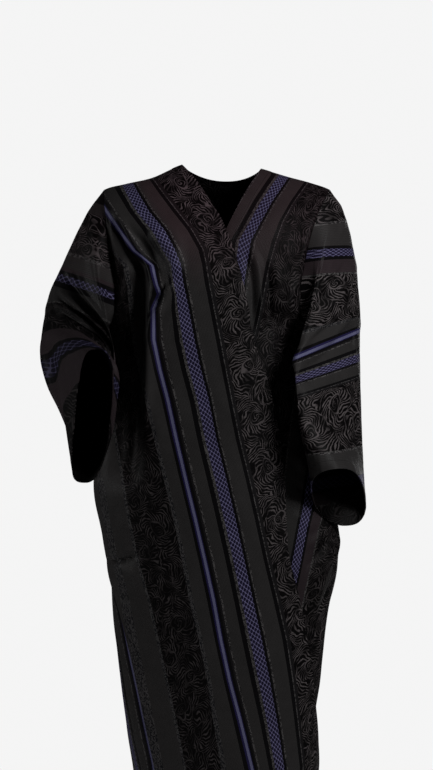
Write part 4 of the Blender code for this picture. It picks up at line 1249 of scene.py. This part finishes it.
def dress():
    falls = row_falls([RIGHT_SLIT_TOP, LEFT_SLIT_TOP])
    yoke = np.flatnonzero(falls <= 1 + SAME_FALL)
    right = right_front_points(falls)
    left = left_front_points(falls)
    back = back_points(falls)
    right_sleeve = sleeve_points(right[yoke, 0], back[yoke, -1], *RIGHT_SLEEVE)
    left_sleeve = sleeve_points(left[yoke, -1], back[yoke, 0], *LEFT_SLEEVE)
    right_stripes = front_stripes(right, RIGHT_STRIPES, RIGHT_STRIPES_ACROSS, 0, RIGHT_STRIPES_LEAN, 4)
    left_stripes = front_stripes(left, LEFT_STRIPES, LEFT_STRIPES_ACROSS, 5, LEFT_STRIPES_LEAN)
    right_sleeve_stripes = sleeve_stripes(right_sleeve, RIGHT_SLEEVE_STRIPES, forearm=True)
    left_sleeve_stripes = sleeve_stripes(left_sleeve, LEFT_SLEEVE_STRIPES, forearm=False)
    panels = {
        "right_front": make_panel(right, right_stripes, RIGHT_SLIT_TOP, np.inf),
        "left_front": make_panel(left, left_stripes, np.inf, LEFT_SLIT_TOP),
        "back": make_panel(back, back_stripes(back), LEFT_SLIT_TOP, RIGHT_SLIT_TOP),
        "right_sleeve": make_panel(right_sleeve, right_sleeve_stripes),
        "left_sleeve": make_panel(left_sleeve, left_sleeve_stripes),
    }
    share_seam_normals(panels)
    for name, panel in panels.items():
        piece = add_cloth(name, panel, falls)


def add_floor():
    """A plain pale round floor, a little below the hem."""
    turns = np.linspace(0, 2 * np.pi, FLOOR_SIDES, endpoint=False)
    rim = [(FLOOR_RADIUS * np.cos(t), FLOOR_RADIUS * np.sin(t), FLOOR_LEVEL) for t in turns]
    mesh = bpy.data.meshes.new("floor")
    mesh.from_pydata(rim, [], [tuple(range(FLOOR_SIDES))])
    material = bpy.data.materials.new("floor_paint")
    material.use_nodes = True
    tree = material.node_tree
    shader = tree.nodes["Principled BSDF"]
    grain = noise(add_node(tree, "TexCoord", output="Object"), FLOOR_GRAIN_SCALE)
    feed(shader.inputs["Base Color"], mix(grain, *FLOOR_COLOURS))
    feed(shader.inputs["Roughness"], FLOOR_ROUGHNESS)
    mesh.materials.append(material)
    show("floor", mesh)


def add_light(name, place, target, size, power):
    data = bpy.data.lights.new(name, "AREA")
    data.shape = "RECTANGLE"
    data.size, data.size_y = size
    data.energy = power
    light = show(name, data)
    light.location = place
    light.rotation_euler = (Vector(target) - Vector(place)).to_track_quat("-Z", "Y").to_euler()


def add_studio():
    """A pale room with soft lights, and the camera at the photograph's angle."""
    scene = bpy.context.scene
    scene.view_settings.view_transform = "Standard"
    world = bpy.data.worlds.new("pale_room")
    world.use_nodes = True
    background = world.node_tree.nodes["Background"]
    seen = add_node(world.node_tree, "LightPath", output="Is Camera Ray")
    feed(background.inputs["Color"], ROOM_COLOUR)
    feed(background.inputs["Strength"], seen * (ROOM_STRENGTH - ROOM_LIGHT) + ROOM_LIGHT)
    scene.world = world
    for light in LIGHTS:
        add_light(*light)
    data = bpy.data.cameras.new("camera")
    data.lens = SENSOR * CAMERA_DISTANCE / FRAME_HEIGHT
    data.sensor_width = SENSOR
    camera = show("camera", data)
    camera.location = (CAMERA_X, -CAMERA_DISTANCE, CAMERA_Z)
    camera.rotation_euler = (QUARTER, 0, 0)
    scene.camera = camera


dress()
add_floor()
add_studio()
